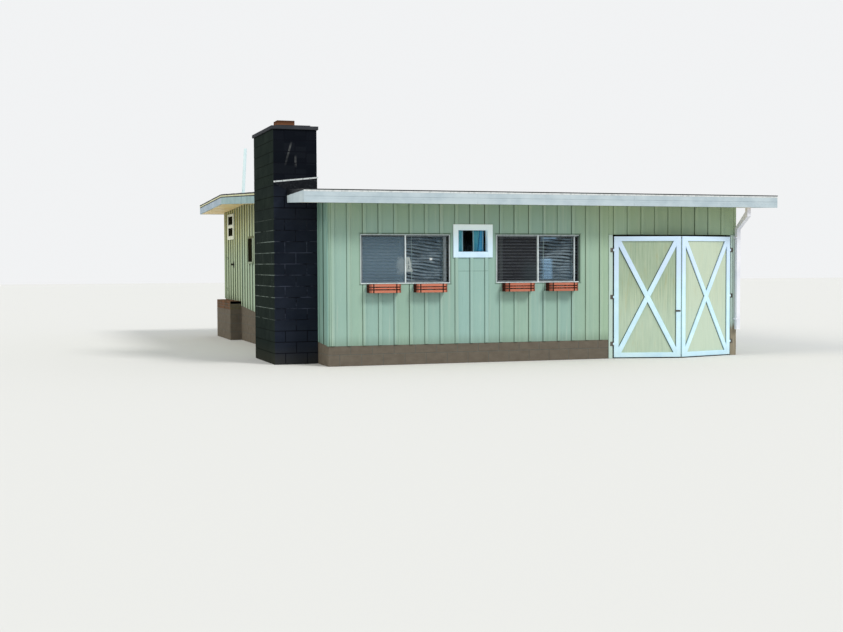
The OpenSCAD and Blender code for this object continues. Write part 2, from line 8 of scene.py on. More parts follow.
# %% Load the frame
import math
import bpy
import numpy as np
from mathutils import Matrix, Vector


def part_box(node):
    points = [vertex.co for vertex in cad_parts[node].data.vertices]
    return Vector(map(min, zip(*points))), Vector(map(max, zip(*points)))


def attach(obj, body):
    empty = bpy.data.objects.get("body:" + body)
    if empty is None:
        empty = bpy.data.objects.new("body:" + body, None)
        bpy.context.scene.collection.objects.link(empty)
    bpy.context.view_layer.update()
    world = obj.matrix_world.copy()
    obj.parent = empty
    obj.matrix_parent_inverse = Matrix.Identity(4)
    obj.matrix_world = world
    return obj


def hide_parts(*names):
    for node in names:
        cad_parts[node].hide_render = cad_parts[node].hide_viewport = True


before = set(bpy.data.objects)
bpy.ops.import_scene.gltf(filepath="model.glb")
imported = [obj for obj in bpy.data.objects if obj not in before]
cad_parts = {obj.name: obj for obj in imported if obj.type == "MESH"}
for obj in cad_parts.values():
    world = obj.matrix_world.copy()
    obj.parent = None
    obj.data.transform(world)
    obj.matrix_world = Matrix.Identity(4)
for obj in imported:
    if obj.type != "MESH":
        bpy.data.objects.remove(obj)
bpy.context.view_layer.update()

# %% [markdown]
# ## The sizes that everything is worked out from
# Battens stand at one pitch on the water wall and at a slightly wider one on the side walls, and
# all the chimney blocks have one size, as on the real building. The roof and the lower edge of
# the siding both slope, so each is a small function of the distance back from the water wall.

# %% Sizes in metres
FRONT_FIRST, FRONT_PITCH = FRONT_RULE = (0.052, 0.292)
SIDE_FIRST, SIDE_PITCH = SIDE_RULE = (-0.009, 0.3265)
BATTEN = 0.063
BATTEN_PROUD = 0.022
BOARD_GAP = 0.010
BOARD_PROUD = 0.003
COURSE = 0.2032
BLOCK = 0.406
FRONT_EDGE = -0.572
RIDGE = 8.154
SOFFIT_FRONT = 2.889
SOFFIT_RIDGE = 3.258
SOFFIT_BACK = 3.150
ROOF_DEPTH = 0.212
ROOFING = 0.014
SIDING_LOW = 0.360
SIDING_HIGH = 0.960
WALL_LENGTH = float(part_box("right_wall")[1][0])
WALL_DEPTH = float(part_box("back_wall")[1][1])
BACK_EDGE = float(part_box("fascia_back")[1][1])
LEFT_EDGE = float(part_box("fascia_front")[0][0])
RIGHT_EDGE = float(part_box("fascia_front")[1][0])
STACK = [np.array(corner, float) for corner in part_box("chimney_stack")]
SMALL_X = 2.738
SMALL_Z = 2.238
SMALL_WIDTH = 0.592
SMALL_HEIGHT = 0.428
LEAF_WIDTH = 1.305
LEAF_HEIGHT = 2.310
LEAF_BOARD = 0.089
LEAF_START = 0.012
LEAF_FOOT = 0.020
PIN_OUT = 0.030
LEAF_PINS = {"boat_door_left": 5.590, "boat_door_right": 8.140}
LEAF_ANGLE = math.radians(15)
SIDE_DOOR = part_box("side_door_leaf")


def soffit(y):
    """Height of the soffit: straight up to the ridge, then straight down to the back edge."""
    front = SOFFIT_FRONT + (SOFFIT_RIDGE - SOFFIT_FRONT) * (y - FRONT_EDGE) / (RIDGE - FRONT_EDGE)
    back = SOFFIT_RIDGE + (SOFFIT_BACK - SOFFIT_RIDGE) * (y - RIDGE) / (BACK_EDGE - RIDGE)
    return np.where(y < RIDGE, front, back)


def roof_top(y):
    """Height of the roof's dark skin."""
    return soffit(y) + ROOF_DEPTH + ROOFING


def opening(name, axis):
    """A node's sides on a wall, (u0, u1, v0, v1); axis is 0 on the water wall and 1 on a side wall."""
    low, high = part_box(name)
    return low[axis], high[axis], low[2], high[2]


WINDOWS = [opening("front_window_left", 0), opening("front_window_right", 0)]


def siding_base(y):
    """Lower edge of the siding, a straight line rising to the back; y is an array or a shader value."""
    return y * ((SIDING_HIGH - SIDING_LOW) / WALL_DEPTH) + SIDING_LOW


print("walls", WALL_LENGTH, "by", WALL_DEPTH, "m; soffit at the ridge", float(soffit(RIDGE)), "m")

# %% [markdown]
# ## The camera
# The camera stands low across the water to the left of the house, at eye height. Its turn is
# given as three angles, and its frame is made from them: forward first, then right and up,
# then a slight roll about forward.

# %% Camera
IMAGE_WIDTH = 843
FOCAL_PIXELS = 1269.2
CAMERA_PLACE = np.array([-5.444, -21.908, 1.810])
CAMERA_YAW = math.radians(18.158)
CAMERA_PITCH = math.radians(-2.324)
CAMERA_ROLL = math.radians(-0.231)

forward = np.array([math.sin(CAMERA_YAW) * math.cos(CAMERA_PITCH),
                    math.cos(CAMERA_YAW) * math.cos(CAMERA_PITCH), math.sin(CAMERA_PITCH)])
level_right = np.array([math.cos(CAMERA_YAW), -math.sin(CAMERA_YAW), 0.0])
level_up = np.cross(level_right, forward)
right = math.cos(CAMERA_ROLL) * level_right + math.sin(CAMERA_ROLL) * level_up
up = np.cross(right, forward)
lens = bpy.data.cameras.new("photo_camera")
lens.sensor_width = 36.0
lens.lens = FOCAL_PIXELS / IMAGE_WIDTH * lens.sensor_width
lens.clip_end = 500.0
camera = bpy.data.objects.new("photo_camera", lens)
camera.matrix_world = Matrix([[*row, place] for row, place in
                              zip(np.stack([right, up, -forward], axis=1), CAMERA_PLACE)] + [[0, 0, 0, 1]])
bpy.context.scene.collection.objects.link(camera)
bpy.context.scene.camera = camera
bpy.context.scene.view_settings.view_transform = "Standard"
print("lens", round(lens.lens, 1), "mm")

# %% [markdown]
# ## Soft, plain light
# The real house stands in open shade: a bright sky does most of the work, a softer key comes
# from above the water on the right, and a little warm light reaches the left wall. Sun lamps
# with a wide angle give that without a change of level along an eleven metre wall.

# %% Lamps and world
def soft_lamp(name, toward, strength, width, colour):
    """A sun lamp that shines from the direction toward; width is its angular size in degrees."""
    lamp = bpy.data.lights.new(name, "SUN")
    lamp.energy = strength
    lamp.angle = math.radians(width)
    lamp.color = colour
    holder = bpy.data.objects.new(name, lamp)
    z_axis = np.array(toward, float) / np.linalg.norm(toward)
    x_axis = np.cross([0, 0, 1], z_axis)
    x_axis /= np.linalg.norm(x_axis)
    axes = np.stack([x_axis, np.cross(z_axis, x_axis), z_axis], axis=1)
    holder.matrix_world = Matrix([[*row, 0] for row in axes] + [[0, 0, 0, 1]])
    bpy.context.scene.collection.objects.link(holder)


soft_lamp("key", (0.55, -0.80, 0.95), 1.94, 16, (1.0, 0.985, 0.95))
soft_lamp("left_fill", (-1.0, -0.10, 0.75), 1.06, 30, (1.0, 0.95, 0.78))

world = bpy.data.worlds.new("pale_room")
bpy.context.scene.world = world
world.use_nodes = True
world_nodes = world.node_tree.nodes
world_nodes.clear()
rays = world_nodes.new("ShaderNodeLightPath")
shown = world_nodes.new("ShaderNodeMath")
shown.operation = "MAXIMUM"
mirrored = world_nodes.new("ShaderNodeMath")
mirrored.operation = "MAXIMUM"
room = world_nodes.new("ShaderNodeBackground")
room.inputs["Color"].default_value = (0.90, 0.95, 1.0, 1)
room.inputs["Strength"].default_value = 0.775
backdrop = world_nodes.new("ShaderNodeBackground")
backdrop.inputs["Color"].default_value = (0.93, 0.94, 0.95, 1)
backdrop.inputs["Strength"].default_value = 0.95
either = world_nodes.new("ShaderNodeMixShader")
world_out = world_nodes.new("ShaderNodeOutputWorld")
link = world.node_tree.links.new
link(rays.outputs["Is Camera Ray"], shown.inputs[0])
link(rays.outputs["Is Transmission Ray"], shown.inputs[1])
link(shown.outputs[0], mirrored.inputs[0])
link(rays.outputs["Is Glossy Ray"], mirrored.inputs[1])
link(mirrored.outputs[0], either.inputs[0])
link(room.outputs[0], either.inputs[1])
link(backdrop.outputs[0], either.inputs[2])
link(either.outputs[0], world_out.inputs["Surface"])
print("two soft lamps and a pale world")

# %% [markdown]
# ## Writing a finish as sums
# A procedural finish is a small calculation, so it reads best as one. `Value` wraps a socket and
# turns + - * / and comparisons into Math nodes; `Finish` owns one material and makes every other
# node from its type, its settings and its inputs. Paint goes on as on a real wall: two tones first,
# then thin coats, each as thick as a pattern says. Patterns read Object coordinates, which are
# metres in the house's own frame, so a 3 mm grain is written as 3 mm.

# %% Values and finishes
class Value:
    """A number or colour inside a finish."""

    def __init__(self, finish, socket):
        self.finish, self.socket = finish, socket

    def math(self, operation, *others, first=None):
        inputs = dict(enumerate([self if first is None else first, *others]))
        return self.finish.node("ShaderNodeMath", {"operation": operation}, inputs)

    def __add__(self, other):
        return self.math("ADD", other)

    def __sub__(self, other):
        return self.math("SUBTRACT", other)

    def __rsub__(self, other):
        return self.math("SUBTRACT", self, first=other)

    def __mul__(self, other):
        return self.math("MULTIPLY", other)

    def __truediv__(self, other):
        return self.math("DIVIDE", other)

    def __gt__(self, other):
        return self.math("GREATER_THAN", other)

    def __lt__(self, other):
        return self.math("LESS_THAN", other)

    __radd__ = __add__
    __rmul__ = __mul__


class Finish:
    """One material: a Principled shader and the nodes that feed it."""

    def __init__(self, name, roughness=0.6, specular=0.3, metallic=0.0):
        self.material = bpy.data.materials.new(name)
        self.material.use_nodes = True
        self.tree = self.material.node_tree
        self.tree.nodes.clear()
        self.shader = self.tree.nodes.new("ShaderNodeBsdfPrincipled")
        out = self.tree.nodes.new("ShaderNodeOutputMaterial")
        self.tree.links.new(self.shader.outputs[0], out.inputs["Surface"])
        self.shader.inputs["Roughness"].default_value = roughness
        self.shader.inputs["Specular IOR Level"].default_value = specular
        self.shader.inputs["Metallic"].default_value = metallic
        self.place = self.node("ShaderNodeTexCoord", out="Object")
        self.colour = None

    def node(self, kind, settings=None, inputs=None, out=0):
        """Makes a node: settings first, then a value or a link for each input."""
        made = self.tree.nodes.new(kind)
        for key, value in (settings or {}).items():
            setattr(made, key, value)
        for key, value in (inputs or {}).items():
            if isinstance(value, Value):
                self.tree.links.new(value.socket, made.inputs[key])
            elif value is not None:
                made.inputs[key].default_value = value
        return Value(self, made.outputs[out])

    def along(self, axis):
        """The x, y or z coordinate, in metres."""
        return self.node("ShaderNodeSeparateXYZ", inputs={0: self.place}, out="xyz".index(axis))

    def axes(self):
        """All three coordinates."""
        return tuple(self.along(axis) for axis in "xyz")

    def stretched(self, sizes):
        """Coordinates divided by one size, or by one for each axis, so a pattern has that grain."""
        scale = tuple(1 / size for size in np.broadcast_to(sizes, 3))
        return self.node("ShaderNodeVectorMath", {"operation": "MULTIPLY"}, {0: self.place, 1: scale})

    def noise(self, sizes, detail=3.0, rough=0.55, bend=0.0):
        """Cloudy noise from 0 to 1 whose blobs are about as large as sizes, in metres."""
        inputs = {"Vector": self.stretched(sizes), "Scale": 1.0, "Detail": detail, "Roughness": rough,
                  "Distortion": bend}
        return self.node("ShaderNodeTexNoise", {"noise_dimensions": "3D"}, inputs)

    def cells(self, sizes, feature="F1"):
        """Distance inside the cells of a Voronoi pattern about as large as sizes."""
        inputs = {"Vector": self.stretched(sizes), "Scale": 1.0}
        return self.node("ShaderNodeTexVoronoi", {"feature": feature}, inputs, "Distance")

    def fraction(self, value):
        """What is left of a value above its whole number."""
        return self.node("ShaderNodeMath", {"operation": "FRACT"}, {0: value})

    def each(self, number):
        """One random value for every whole number."""
        whole = self.node("ShaderNodeMath", {"operation": "FLOOR"}, {0: number})
        return self.node("ShaderNodeTexWhiteNoise", {"noise_dimensions": "1D"}, {"W": whole})

    def ease(self, value, low, high):
        """Goes smoothly from 0 at low to 1 at high."""
        if low > high:
            return 1 - self.ease(value, high, low)
        return self.node("ShaderNodeMapRange", {"interpolation_type": "SMOOTHSTEP"},
                         {"Value": value, "From Min": low, "From Max": high})

    def band(self, value, start, full, last, end):
        """1 from full to last, fading smoothly to 0 at start and at end."""
        return self.ease(value, start, full) * self.ease(value, end, last)

    def mix(self, amount, first, second):
        """Colour mixing; first and second are colours or values."""
        inputs = {0: amount, 6: as_colour(first), 7: as_colour(second)}
        return self.node("ShaderNodeMix", {"data_type": "RGBA", "blend_type": "MIX"}, inputs, out=2)

    def tones(self, amount, first, second, share=0.8):
        """Starts the colour as two tones of paint, mixed by the amount."""
        self.colour = self.mix(amount, paint(*first, share), paint(*second, share))

    def coat(self, amount, red, green, blue, share=0.8):
        """Lays paint over the colour so far, from none at 0 to a full coat at 1."""
        self.colour = self.mix(amount, self.colour, paint(red, green, blue, share))

    def shades(self, value, *stops):
        """A colour ramp from (position, colour) stops."""
        ramp = self.tree.nodes.new("ShaderNodeValToRGB")
        elements = ramp.color_ramp.elements
        for i, (position, colour) in enumerate(stops):
            element = elements[i] if i < 2 else elements.new(position)
            element.position, element.color = position, as_colour(colour)
        self.tree.links.new(value.socket, ramp.inputs[0])
        return Value(self, ramp.outputs[0])

    def bump(self, height, distance, strength=1.0):
        """Relief of the given depth in metres."""
        inputs = {"Height": height, "Distance": distance, "Strength": strength}
        relief = self.node("ShaderNodeBump", inputs=inputs)
        self.tree.links.new(relief.socket, self.shader.inputs["Normal"])

    def set(self, **sockets):
        """Links or sets the shader's own sockets, named with _ for a space."""
        for key, value in sockets.items():
            socket = self.shader.inputs[key.replace("_", " ")]
            if isinstance(value, Value):
                self.tree.links.new(value.socket, socket)
            else:
                socket.default_value = value
        return self.material


def as_colour(value):
    """Leaves a value or four numbers alone and adds an alpha of 1 to three."""
    return value if isinstance(value, Value) or len(value) == 4 else (*value, 1.0)


def paint(red, green, blue, share=0.8):
    """A colour as it looks outdoors, 0 to 255, turned into the share of light that it sends back.

    Above 10 that is share * ((c / 255 + 0.055) / 1.055) ** 2.4, and below it share * c / 3295.
    """
    bright = (((c / 255 + 0.055) / 1.055) ** 2.4 if c > 10 else c / 3295 for c in (red, green, blue))
    return tuple(share * c for c in bright)


print("finish tools ready")

# %% [markdown]
# ## Shapes as whole arrays
# A house is many small pieces of a few kinds: blocks with softened edges, flat boards with any
# outline, thin skins and turned heads. Each kind is one formula on arrays, and a `Shape`
# gathers the results until they become one mesh. The sign of the enclosed volume tells whether
# the faces point outwards, so a mirrored group is turned round as a whole.

# %% A shape that gathers points and faces
class Shape:
    """Points and faces of any number of closed solids, before they become one piece."""

    def __init__(self):
        self.points, self.faces, self.count = [], [], 0

    def add(self, points, *faces):
        """Adds closed solids; faces are arrays with one row of point numbers for each face."""
        points = np.asarray(points, float).reshape(-1, 3)
        volume = 0.0
        for rows in faces:
            first = points[rows[:, 0]]
            for k in range(1, rows.shape[1] - 1):
                volume += (first * np.cross(points[rows[:, k]], points[rows[:, k + 1]])).sum()
        for rows in faces:
            self.faces.append((rows if volume > 0 else rows[:, ::-1]) + self.count)
        self.points.append(points)
        self.count += len(points)

    def piece(self, name, material, slot, body="building", smooth=False):
        """Turns the shape into one mesh object that rides on a body."""
        mesh = bpy.data.meshes.new(name)
        points = np.concatenate(self.points)
        corners = np.concatenate([rows.ravel() for rows in self.faces])
        sizes = np.concatenate([np.full(len(rows), rows.shape[1]) for rows in self.faces])
        mesh.vertices.add(len(points))
        mesh.vertices.foreach_set("co", points.ravel())
        mesh.loops.add(len(corners))
        mesh.loops.foreach_set("vertex_index", corners.astype(np.int32))
        mesh.polygons.add(len(sizes))
        mesh.polygons.foreach_set("loop_start", (np.cumsum(sizes) - sizes).astype(np.int32))
        mesh.polygons.foreach_set("use_smooth", np.full(len(sizes), smooth))
        mesh.update(calc_edges=True)
        mesh.validate()
        mesh.materials.append(material)
        made = bpy.data.objects.new(name, mesh)
        bpy.context.scene.collection.objects.link(made)
        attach(made, body)
        print(name, len(sizes), "faces")
        return made


print("an empty shape has", Shape().count, "points")

# %% Blocks with softened edges
CORNER = np.array([[i, j, k] for i in (-1, 1) for j in (-1, 1) for k in (-1, 1) for _ in range(3)], float)
OUTWARD = CORNER * np.tile(np.eye(3), (8, 1))


def block_faces():
    """For each of 26 directions the face is the set of points furthest that way, in turning order."""
    template = CORNER * 0.6 + OUTWARD * 0.4
    quads, corners = [], []
    signs = (-1, 0, 1)
    for way in np.array([[i, j, k] for i in signs for j in signs for k in signs if i or j or k]):
        reach = template @ way
        face = np.flatnonzero(reach > reach.max() - 1e-6)
        spokes = template[face] - template[face].mean(axis=0)
        side = np.cross(way, spokes[0])
        face = face[np.argsort(np.arctan2(spokes @ side / np.linalg.norm(way), spokes @ spokes[0]))]
        (quads if len(face) == 4 else corners).append(face)
    return np.array(quads), np.array(corners)


BLOCK_QUADS, BLOCK_CORNERS = block_faces()


def blocks(shape, centres, sizes, bevel=0.003):
    """Boxes: centre + corner signs * (half size - bevel) + own axis * bevel."""
    centres = np.atleast_2d(np.asarray(centres, float))
    halves = np.broadcast_to(np.asarray(sizes, float) / 2, centres.shape)
    local = CORNER * (halves - bevel)[:, None, :] + OUTWARD * bevel
    offsets = (np.arange(len(centres)) * 24)[:, None, None]
    shape.add(centres[:, None, :] + local, (BLOCK_QUADS + offsets).reshape(-1, 4),
              (BLOCK_CORNERS + offsets).reshape(-1, 3))


def span(shape, low, high, bevel=0.003):
    """Boxes given by two opposite corners."""
    low, high = np.atleast_2d(np.asarray(low, float)), np.atleast_2d(np.asarray(high, float))
    blocks(shape, (low + high) / 2, np.abs(high - low), bevel)


print("a block has", len(BLOCK_QUADS) + len(BLOCK_CORNERS), "faces")

# %% The faces that pieces are laid on
def xyz(x, y, z):
    """One point for each element of three arrays or numbers."""
    return np.stack(np.broadcast_arrays(x, y, z), axis=-1)


def front_face(u, v, w):
    """The water wall: u to the right, v up, w out towards the water."""
    return xyz(u, -w, v)


def left_face(u, v, w):
    """The left wall: u back from the water, v up, w out to the left."""
    return xyz(-w, u, v)


def right_face(u, v, w):
    """The right wall: u back from the water, v up, w out to the right."""
    return xyz(WALL_LENGTH + w, u, v)


def back_face(u, v, w):
    """The back wall: u to the right, v up, w out behind."""
    return xyz(u, WALL_DEPTH + w, v)


def leaf_face(body):
    """A boat door leaf: u from its hinge pin, v up from its foot, w out from its boards."""
    side = 1 if body == "boat_door_left" else -1
    cosine, sine = math.cos(LEAF_ANGLE), math.sin(LEAF_ANGLE)

    def place(u, v, w):
        x = LEAF_PINS[body] + side * (u * cosine - w * sine)
        return xyz(x, -PIN_OUT - u * sine - w * cosine, LEAF_FOOT + v)
    return place


def front_edge_face(u, v, w):
    """The roof's front edge: u to the right, v up, w out towards the water."""
    return xyz(u, FRONT_EDGE - w, v)


def back_edge_face(u, v, w):
    """The roof's back edge: u to the right, v up, w out behind."""
    return xyz(u, BACK_EDGE + w, v)


def soffit_face(u, v, w):
    """The soffit: u to the right, v back from the water, w down."""
    return xyz(u, v, soffit(v) - w)


def rake_face(side):
    """A rake: u back from the water, v up, w out to the left for a side of -1, to the right for 1."""
    edge = LEFT_EDGE if side < 0 else RIGHT_EDGE
    return lambda u, v, w: xyz(edge + side * w, u, v)


def lifted(place, height):
    """The same face with v measured from a height."""
    return lambda u, v, w: place(u, v + height, w)


def facing(place):
    """The direction in which a face looks."""
    zero = np.zeros(1)
    return (place(zero, zero, zero + 1) - place(zero, zero, zero))[0]


print("the water wall looks along", facing(front_face))

# %% Planks with any convex outline
def moved_in(outline, amount):
    """Moves the sides of convex outlines in: a corner moves by amount * (n1 + n2) / (1 + n1.n2)."""
    edge = np.roll(outline, -1, axis=-2) - outline
    edge /= np.linalg.norm(edge, axis=-1, keepdims=True)
    inward = np.stack([-edge[..., 1], edge[..., 0]], axis=-1)
    before = np.roll(inward, 1, axis=-2)
    return outline + amount * (inward + before) / (1 + (inward * before).sum(axis=-1, keepdims=True))


def planks(shape, outlines, back, front, bevel, place):
    """Boards of one outline each, (n, k, 2), drawn anticlockwise.

    Three rings: the outline at the back, the outline a bevel short of the front, and the outline
    moved in by the bevel at the front.
    """
    outlines = np.asarray(outlines, float)
    if outlines.ndim == 2:
        outlines = outlines[None]
    n, k = outlines.shape[:2]
    flat = np.stack([outlines, outlines, moved_in(outlines, bevel)], axis=1)
    depth = np.array([back, front - bevel, front])[None, :, None]
    ring = np.arange(k)
    first = (np.arange(n) * 3 * k)[:, None]
    after = np.roll(ring, -1)
    band = np.stack([ring, after, after + k, ring + k], axis=1)
    around = np.concatenate([band, band + k])
    corners = place(flat[..., 0], flat[..., 1], np.broadcast_to(depth, flat.shape[:3]))
    sides = (around + first[..., None]).reshape(-1, 4)
    shape.add(corners, sides, ring[::-1] + first, ring + 2 * k + first)


def outline_of(*pairs):
    """Outlines from the u and v of each corner in turn, as pairs of arrays."""
    return np.stack([np.stack(pair, axis=-1) for pair in pairs], axis=1)


def rectangles(u0, v0, u1, v1):
    """Outlines of upright rectangles from arrays of their sides."""
    u0, v0, u1, v1 = np.broadcast_arrays(*(np.atleast_1d(np.asarray(a, float)) for a in (u0, v0, u1, v1)))
    return outline_of((u0, v0), (u1, v0), (u1, v1), (u0, v1))


def four_sides(u0, u1, v0, v1, wide, gap=0.0):
    """Outlines of two uprights and the two boards between them."""
    inner = wide + gap
    return rectangles([u0, u1 - wide, u0 + inner, u0 + inner], [v0, v0, v0, v1 - wide],
                      [u0 + wide, u1, u1 - inner, u1 - inner], [v1, v1, v0 + wide, v1])


print("a plank has corners", rectangles(0, 0, 1, 1).tolist())

# %% Skins, turned heads and tubes
def grid(across, up, u0=0, u1=1, v0=0, v1=1):
    """Even steps across and up a sheet from (u0, v0) to (u1, v1), as two arrays."""
    return np.meshgrid(np.linspace(u0, u1, across), np.linspace(v0, v1, up), indexing="ij")


def skin(shape, front, back):
    """A closed skin between two grids of points, joined round the rim."""
    rows, columns = front.shape[:2]
    number = np.arange(rows * columns).reshape(rows, columns)
    corners = (number[:-1, :-1], number[1:, :-1], number[1:, 1:], number[:-1, 1:])
    faces = np.stack(corners, axis=-1).reshape(-1, 4)
    rim = np.concatenate([number[:-1, 0], number[-1, :-1], number[:0:-1, -1], number[0, :0:-1]])
    after, shift = np.roll(rim, -1), rows * columns
    shape.add(np.concatenate([front.reshape(-1, 3), back.reshape(-1, 3)]), faces, faces[:, ::-1] + shift,
              np.stack([after, rim, rim + shift, after + shift], axis=1))


def ring_faces(rings, sides):
    """Faces between neighbouring rings of points."""
    ring = np.arange(sides)
    faces = np.stack([ring, np.roll(ring, -1), np.roll(ring, -1) + sides, ring + sides], axis=1)
    return (faces + (np.arange(rings - 1) * sides)[:, None, None]).reshape(-1, 4)


def turned(shape, centres, profile, axis, sides=8):
    """Copies of a profile of (radius, height) turned about an axis; the ends are closed flat."""
    centres = np.atleast_2d(np.asarray(centres, float))
    profile = np.asarray(profile, float)
    axis = np.asarray(axis, float) / np.linalg.norm(axis)
    first = np.cross(axis, [0.31, 0.52, 0.79])
    first /= np.linalg.norm(first)
    angle = np.arange(sides) * 2 * np.pi / sides
    spoke = np.cos(angle)[:, None] * first + np.sin(angle)[:, None] * np.cross(axis, first)
    rings = profile[:, 0, None, None] * spoke + profile[:, 1, None, None] * axis
    ring, last = np.arange(sides), sides * (len(profile) - 1)
    offsets = np.arange(len(centres)) * sides * len(profile)
    faces = ring_faces(len(profile), sides) + offsets[:, None, None]
    shape.add(centres[:, None, None, :] + rings, faces.reshape(-1, 4), ring[::-1] + offsets[:, None],
              ring + last + offsets[:, None])


def tube(shape, path, radius, sides=8):
    """A round tube: at each point of the path a circle square to the path's direction."""
    path = np.asarray(path, float)
    run = np.gradient(path, axis=0)
    run /= np.linalg.norm(run, axis=1, keepdims=True)
    first = np.cross(run, [0.31, 0.52, 0.79])
    first /= np.linalg.norm(first, axis=1, keepdims=True)
    second = np.cross(run, first)
    angle = (np.arange(sides) * 2 * np.pi / sides)[None, :, None]
    rings = path[:, None] + radius * (np.cos(angle) * first[:, None] + np.sin(angle) * second[:, None])
    ring = np.arange(sides)
    shape.add(rings, ring_faces(len(path), sides), ring[None, ::-1], ring[None] + sides * (len(path) - 1))


NAIL = [(0.0045, 0.0), (0.0045, 0.0012), (0.0022, 0.0024)]
SCREW = [(0.0065, 0.0), (0.0065, 0.0016), (0.0042, 0.0034), (0.0014, 0.0036)]
print("planks, skins, heads and tubes ready")

# %% [markdown]
# ## Sage paint on boards and battens
# The walls are wide upright boards whose joints are covered by narrow battens. The paint is a soft
# grey green that has chalked unevenly: each board took it a little differently, the grain runs
# upright, and rain has greyed the foot of the wall. Light and shade are painted on too: the battens
# are paler where they stand proud, the walls darker under the eave and beside the stack, the back
# and top of the left wall warm with painted sunlight, and a thin dark line of painted shade sits
# where a batten meets a board.

# %% Siding finishes
def left_wall_paint(sage, y, z, left, sunny):
    """The left wall: painted shade beside the stack, then painted warm sunlight towards the back and under
    the eave.
    """
    # Painted shade: bluer and darker beside the stack.
    sage.coat(left * sage.ease(y, 3.2, 2.2) * 0.62, 114, 158, 154)
    # Painted warm sunlight: lighter and yellower towards the back, and under the eave.
    sage.coat(sunny * 0.40, 176, 188, 158)
    far = sage.ease(y, 6.4, 9.6)
    under_eave = sunny * sage.ease(z, 1.8, 3.0) * (far * 0.35 + 0.40)
    sage.coat(under_eave, 176, 160, 84)
    sage.coat(sunny * far * 0.28, 196, 196, 124)


def water_wall_paint(sage, x, z, water):
    """The water wall: a repainted patch, yellower paint near the doors, painted shadow lines round the
    windows.
    """
    patch = water * sage.band(x, 2.440, 2.450, 3.040, 3.050) * (z < 1.934)
    sage.coat(patch * 0.30, 166, 206, 206)
    sage.coat(water * sage.ease(x, 4.5, 5.4) * 0.35, 188, 208, 164)
    for x0, x1, z0, z1 in WINDOWS:
        near = sage.band(x, x0 - 0.030, x0 - 0.026, x1 + 0.026, x1 + 0.030)
        head = near * sage.band(z, z1 + 0.010, z1 + 0.013, z1 + 0.027, z1 + 0.031)
        sill = near * sage.band(z, z0 - 0.026, z0 - 0.022, z0 - 0.003, z0)
        jamb = near * (z > z0) * (z < z1)
        # Painted shadow: dark lines under each drip strip and sill, fainter beside each jamb.
        sage.coat(water * ((head + sill) * 0.55 + jamb * 0.35), 86, 104, 88)


def siding_finish():
    """Chalky sage: a tone for each board, clouds, grain, battens painted paler, lines of painted shade and a
    grey foot.
    """
    sage = Finish("sage_siding", specular=0.03)
    x, y, z = sage.axes()
    crosswise = ((y < 0.06) + (y > WALL_DEPTH - 0.002)) * (x > 0.004)
    run = sage.node("ShaderNodeMix", {"data_type": "FLOAT"},
                    {0: crosswise, 2: (y - SIDE_FIRST) / SIDE_PITCH, 3: (x - FRONT_FIRST) / FRONT_PITCH})
    pitch = crosswise * (FRONT_PITCH - SIDE_PITCH) + SIDE_PITCH
    place = sage.fraction(run + 40.0) * pitch
    batten = (place < BATTEN) * (place > 0.0)
    tone = sage.each(run - BATTEN / FRONT_PITCH / 2)
    clouds = sage.noise((0.9, 0.9, 0.6), detail=4)
    grain = sage.noise((0.010, 0.010, 0.45), detail=4, rough=0.6)
    streak = sage.noise((0.05, 0.05, 1.6), detail=3, bend=0.3)
    sage.tones(clouds, (153, 185, 169), (173, 204, 185))
    sage.coat(sage.ease(tone, 0.2, 0.8) * 0.45, 158, 193, 188)
    # Painted shade: darker towards the top, where the eave shades the wall.
    sage.coat(sage.ease(z, 1.9, 3.0) * 0.5, 148, 175, 154)
    # Painted light: the battens are paler, as they stand proud of the boards.
    sage.coat(batten * 0.18, 184, 208, 192)
    left = sage.ease(x - (y > 9.5) * 0.06, 0.0, -0.003)
    sunny = left * sage.ease(y, 2.6, 4.0)
    left_wall_paint(sage, y, z, left, sunny)
    sage.coat(sage.ease(streak, 0.52, 0.78) * 0.35, 196, 212, 196)
    water_wall_paint(sage, x, z, crosswise * (y < 0.06))
    foot = sage.ease(z - siding_base(y) + streak * 0.16, 0.30, 0.02)
    sage.coat(foot * 0.45, 104, 118, 98)
    sage.coat(sage.ease(grain, 0.60, 0.80) * 0.22, 96, 118, 100)
    cheek = (place < 0.003) + (place > pitch - 0.003)
    face = (place > 0.003) * (place < BATTEN + 0.004)
    # Painted light and shade on the sunny part of the left wall: lighter batten faces, darker batten sides.
    sage.coat(sunny * face * 0.55, 226, 238, 212)
    sage.coat(sunny * cheek * 0.70, 62, 74, 50)
    # Painted shade: the dirt mask is a thin dark line on the board at each side of every batten.
    beside = sage.ease(place, BATTEN + 0.010, BATTEN + 0.001) * (1 - batten)
    dirt = sage.ease(pitch - place, 0.012, 0.002) * 0.75 + beside * 0.65
    sage.coat(dirt * (sage.ease(streak, 0.3, 0.5) * 0.4 + 0.6), 62, 78, 62)
    sage.bump(grain + streak * 0.4, 0.0016, 0.55)
    return sage.set(Base_Color=sage.colour, Roughness=sage.noise((0.3, 0.3, 0.8)) * 0.2 + 0.5)


def core_finish():
    """Dark green in the gaps outside, and pale lining boards inside."""
    core = Finish("wall_core", roughness=0.8, specular=0.15)
    x, y = core.along("x"), core.along("y")
    inside = (x > 0.12) * (x < WALL_LENGTH - 0.12) * (y > 0.12) * (y < WALL_DEPTH - 0.12)
    lining = core.noise((0.03, 0.03, 0.7), detail=4, bend=0.6)
    wood = core.shades(lining, (0.3, paint(96, 80, 60)), (0.7, paint(124, 104, 80)))
    seam = core.ease(core.cells((1.2, 1.2, 2.4), "DISTANCE_TO_EDGE"), 0.0, 0.01)
    dark = core.shades(core.noise((0.1, 0.1, 0.5)), (0.3, paint(72, 92, 76)), (0.7, paint(96, 118, 98)))
    core.bump(lining, 0.001, 0.4)
    return core.set(Base_Color=core.mix(inside, dark, core.mix(seam, paint(74, 62, 48), wood)))


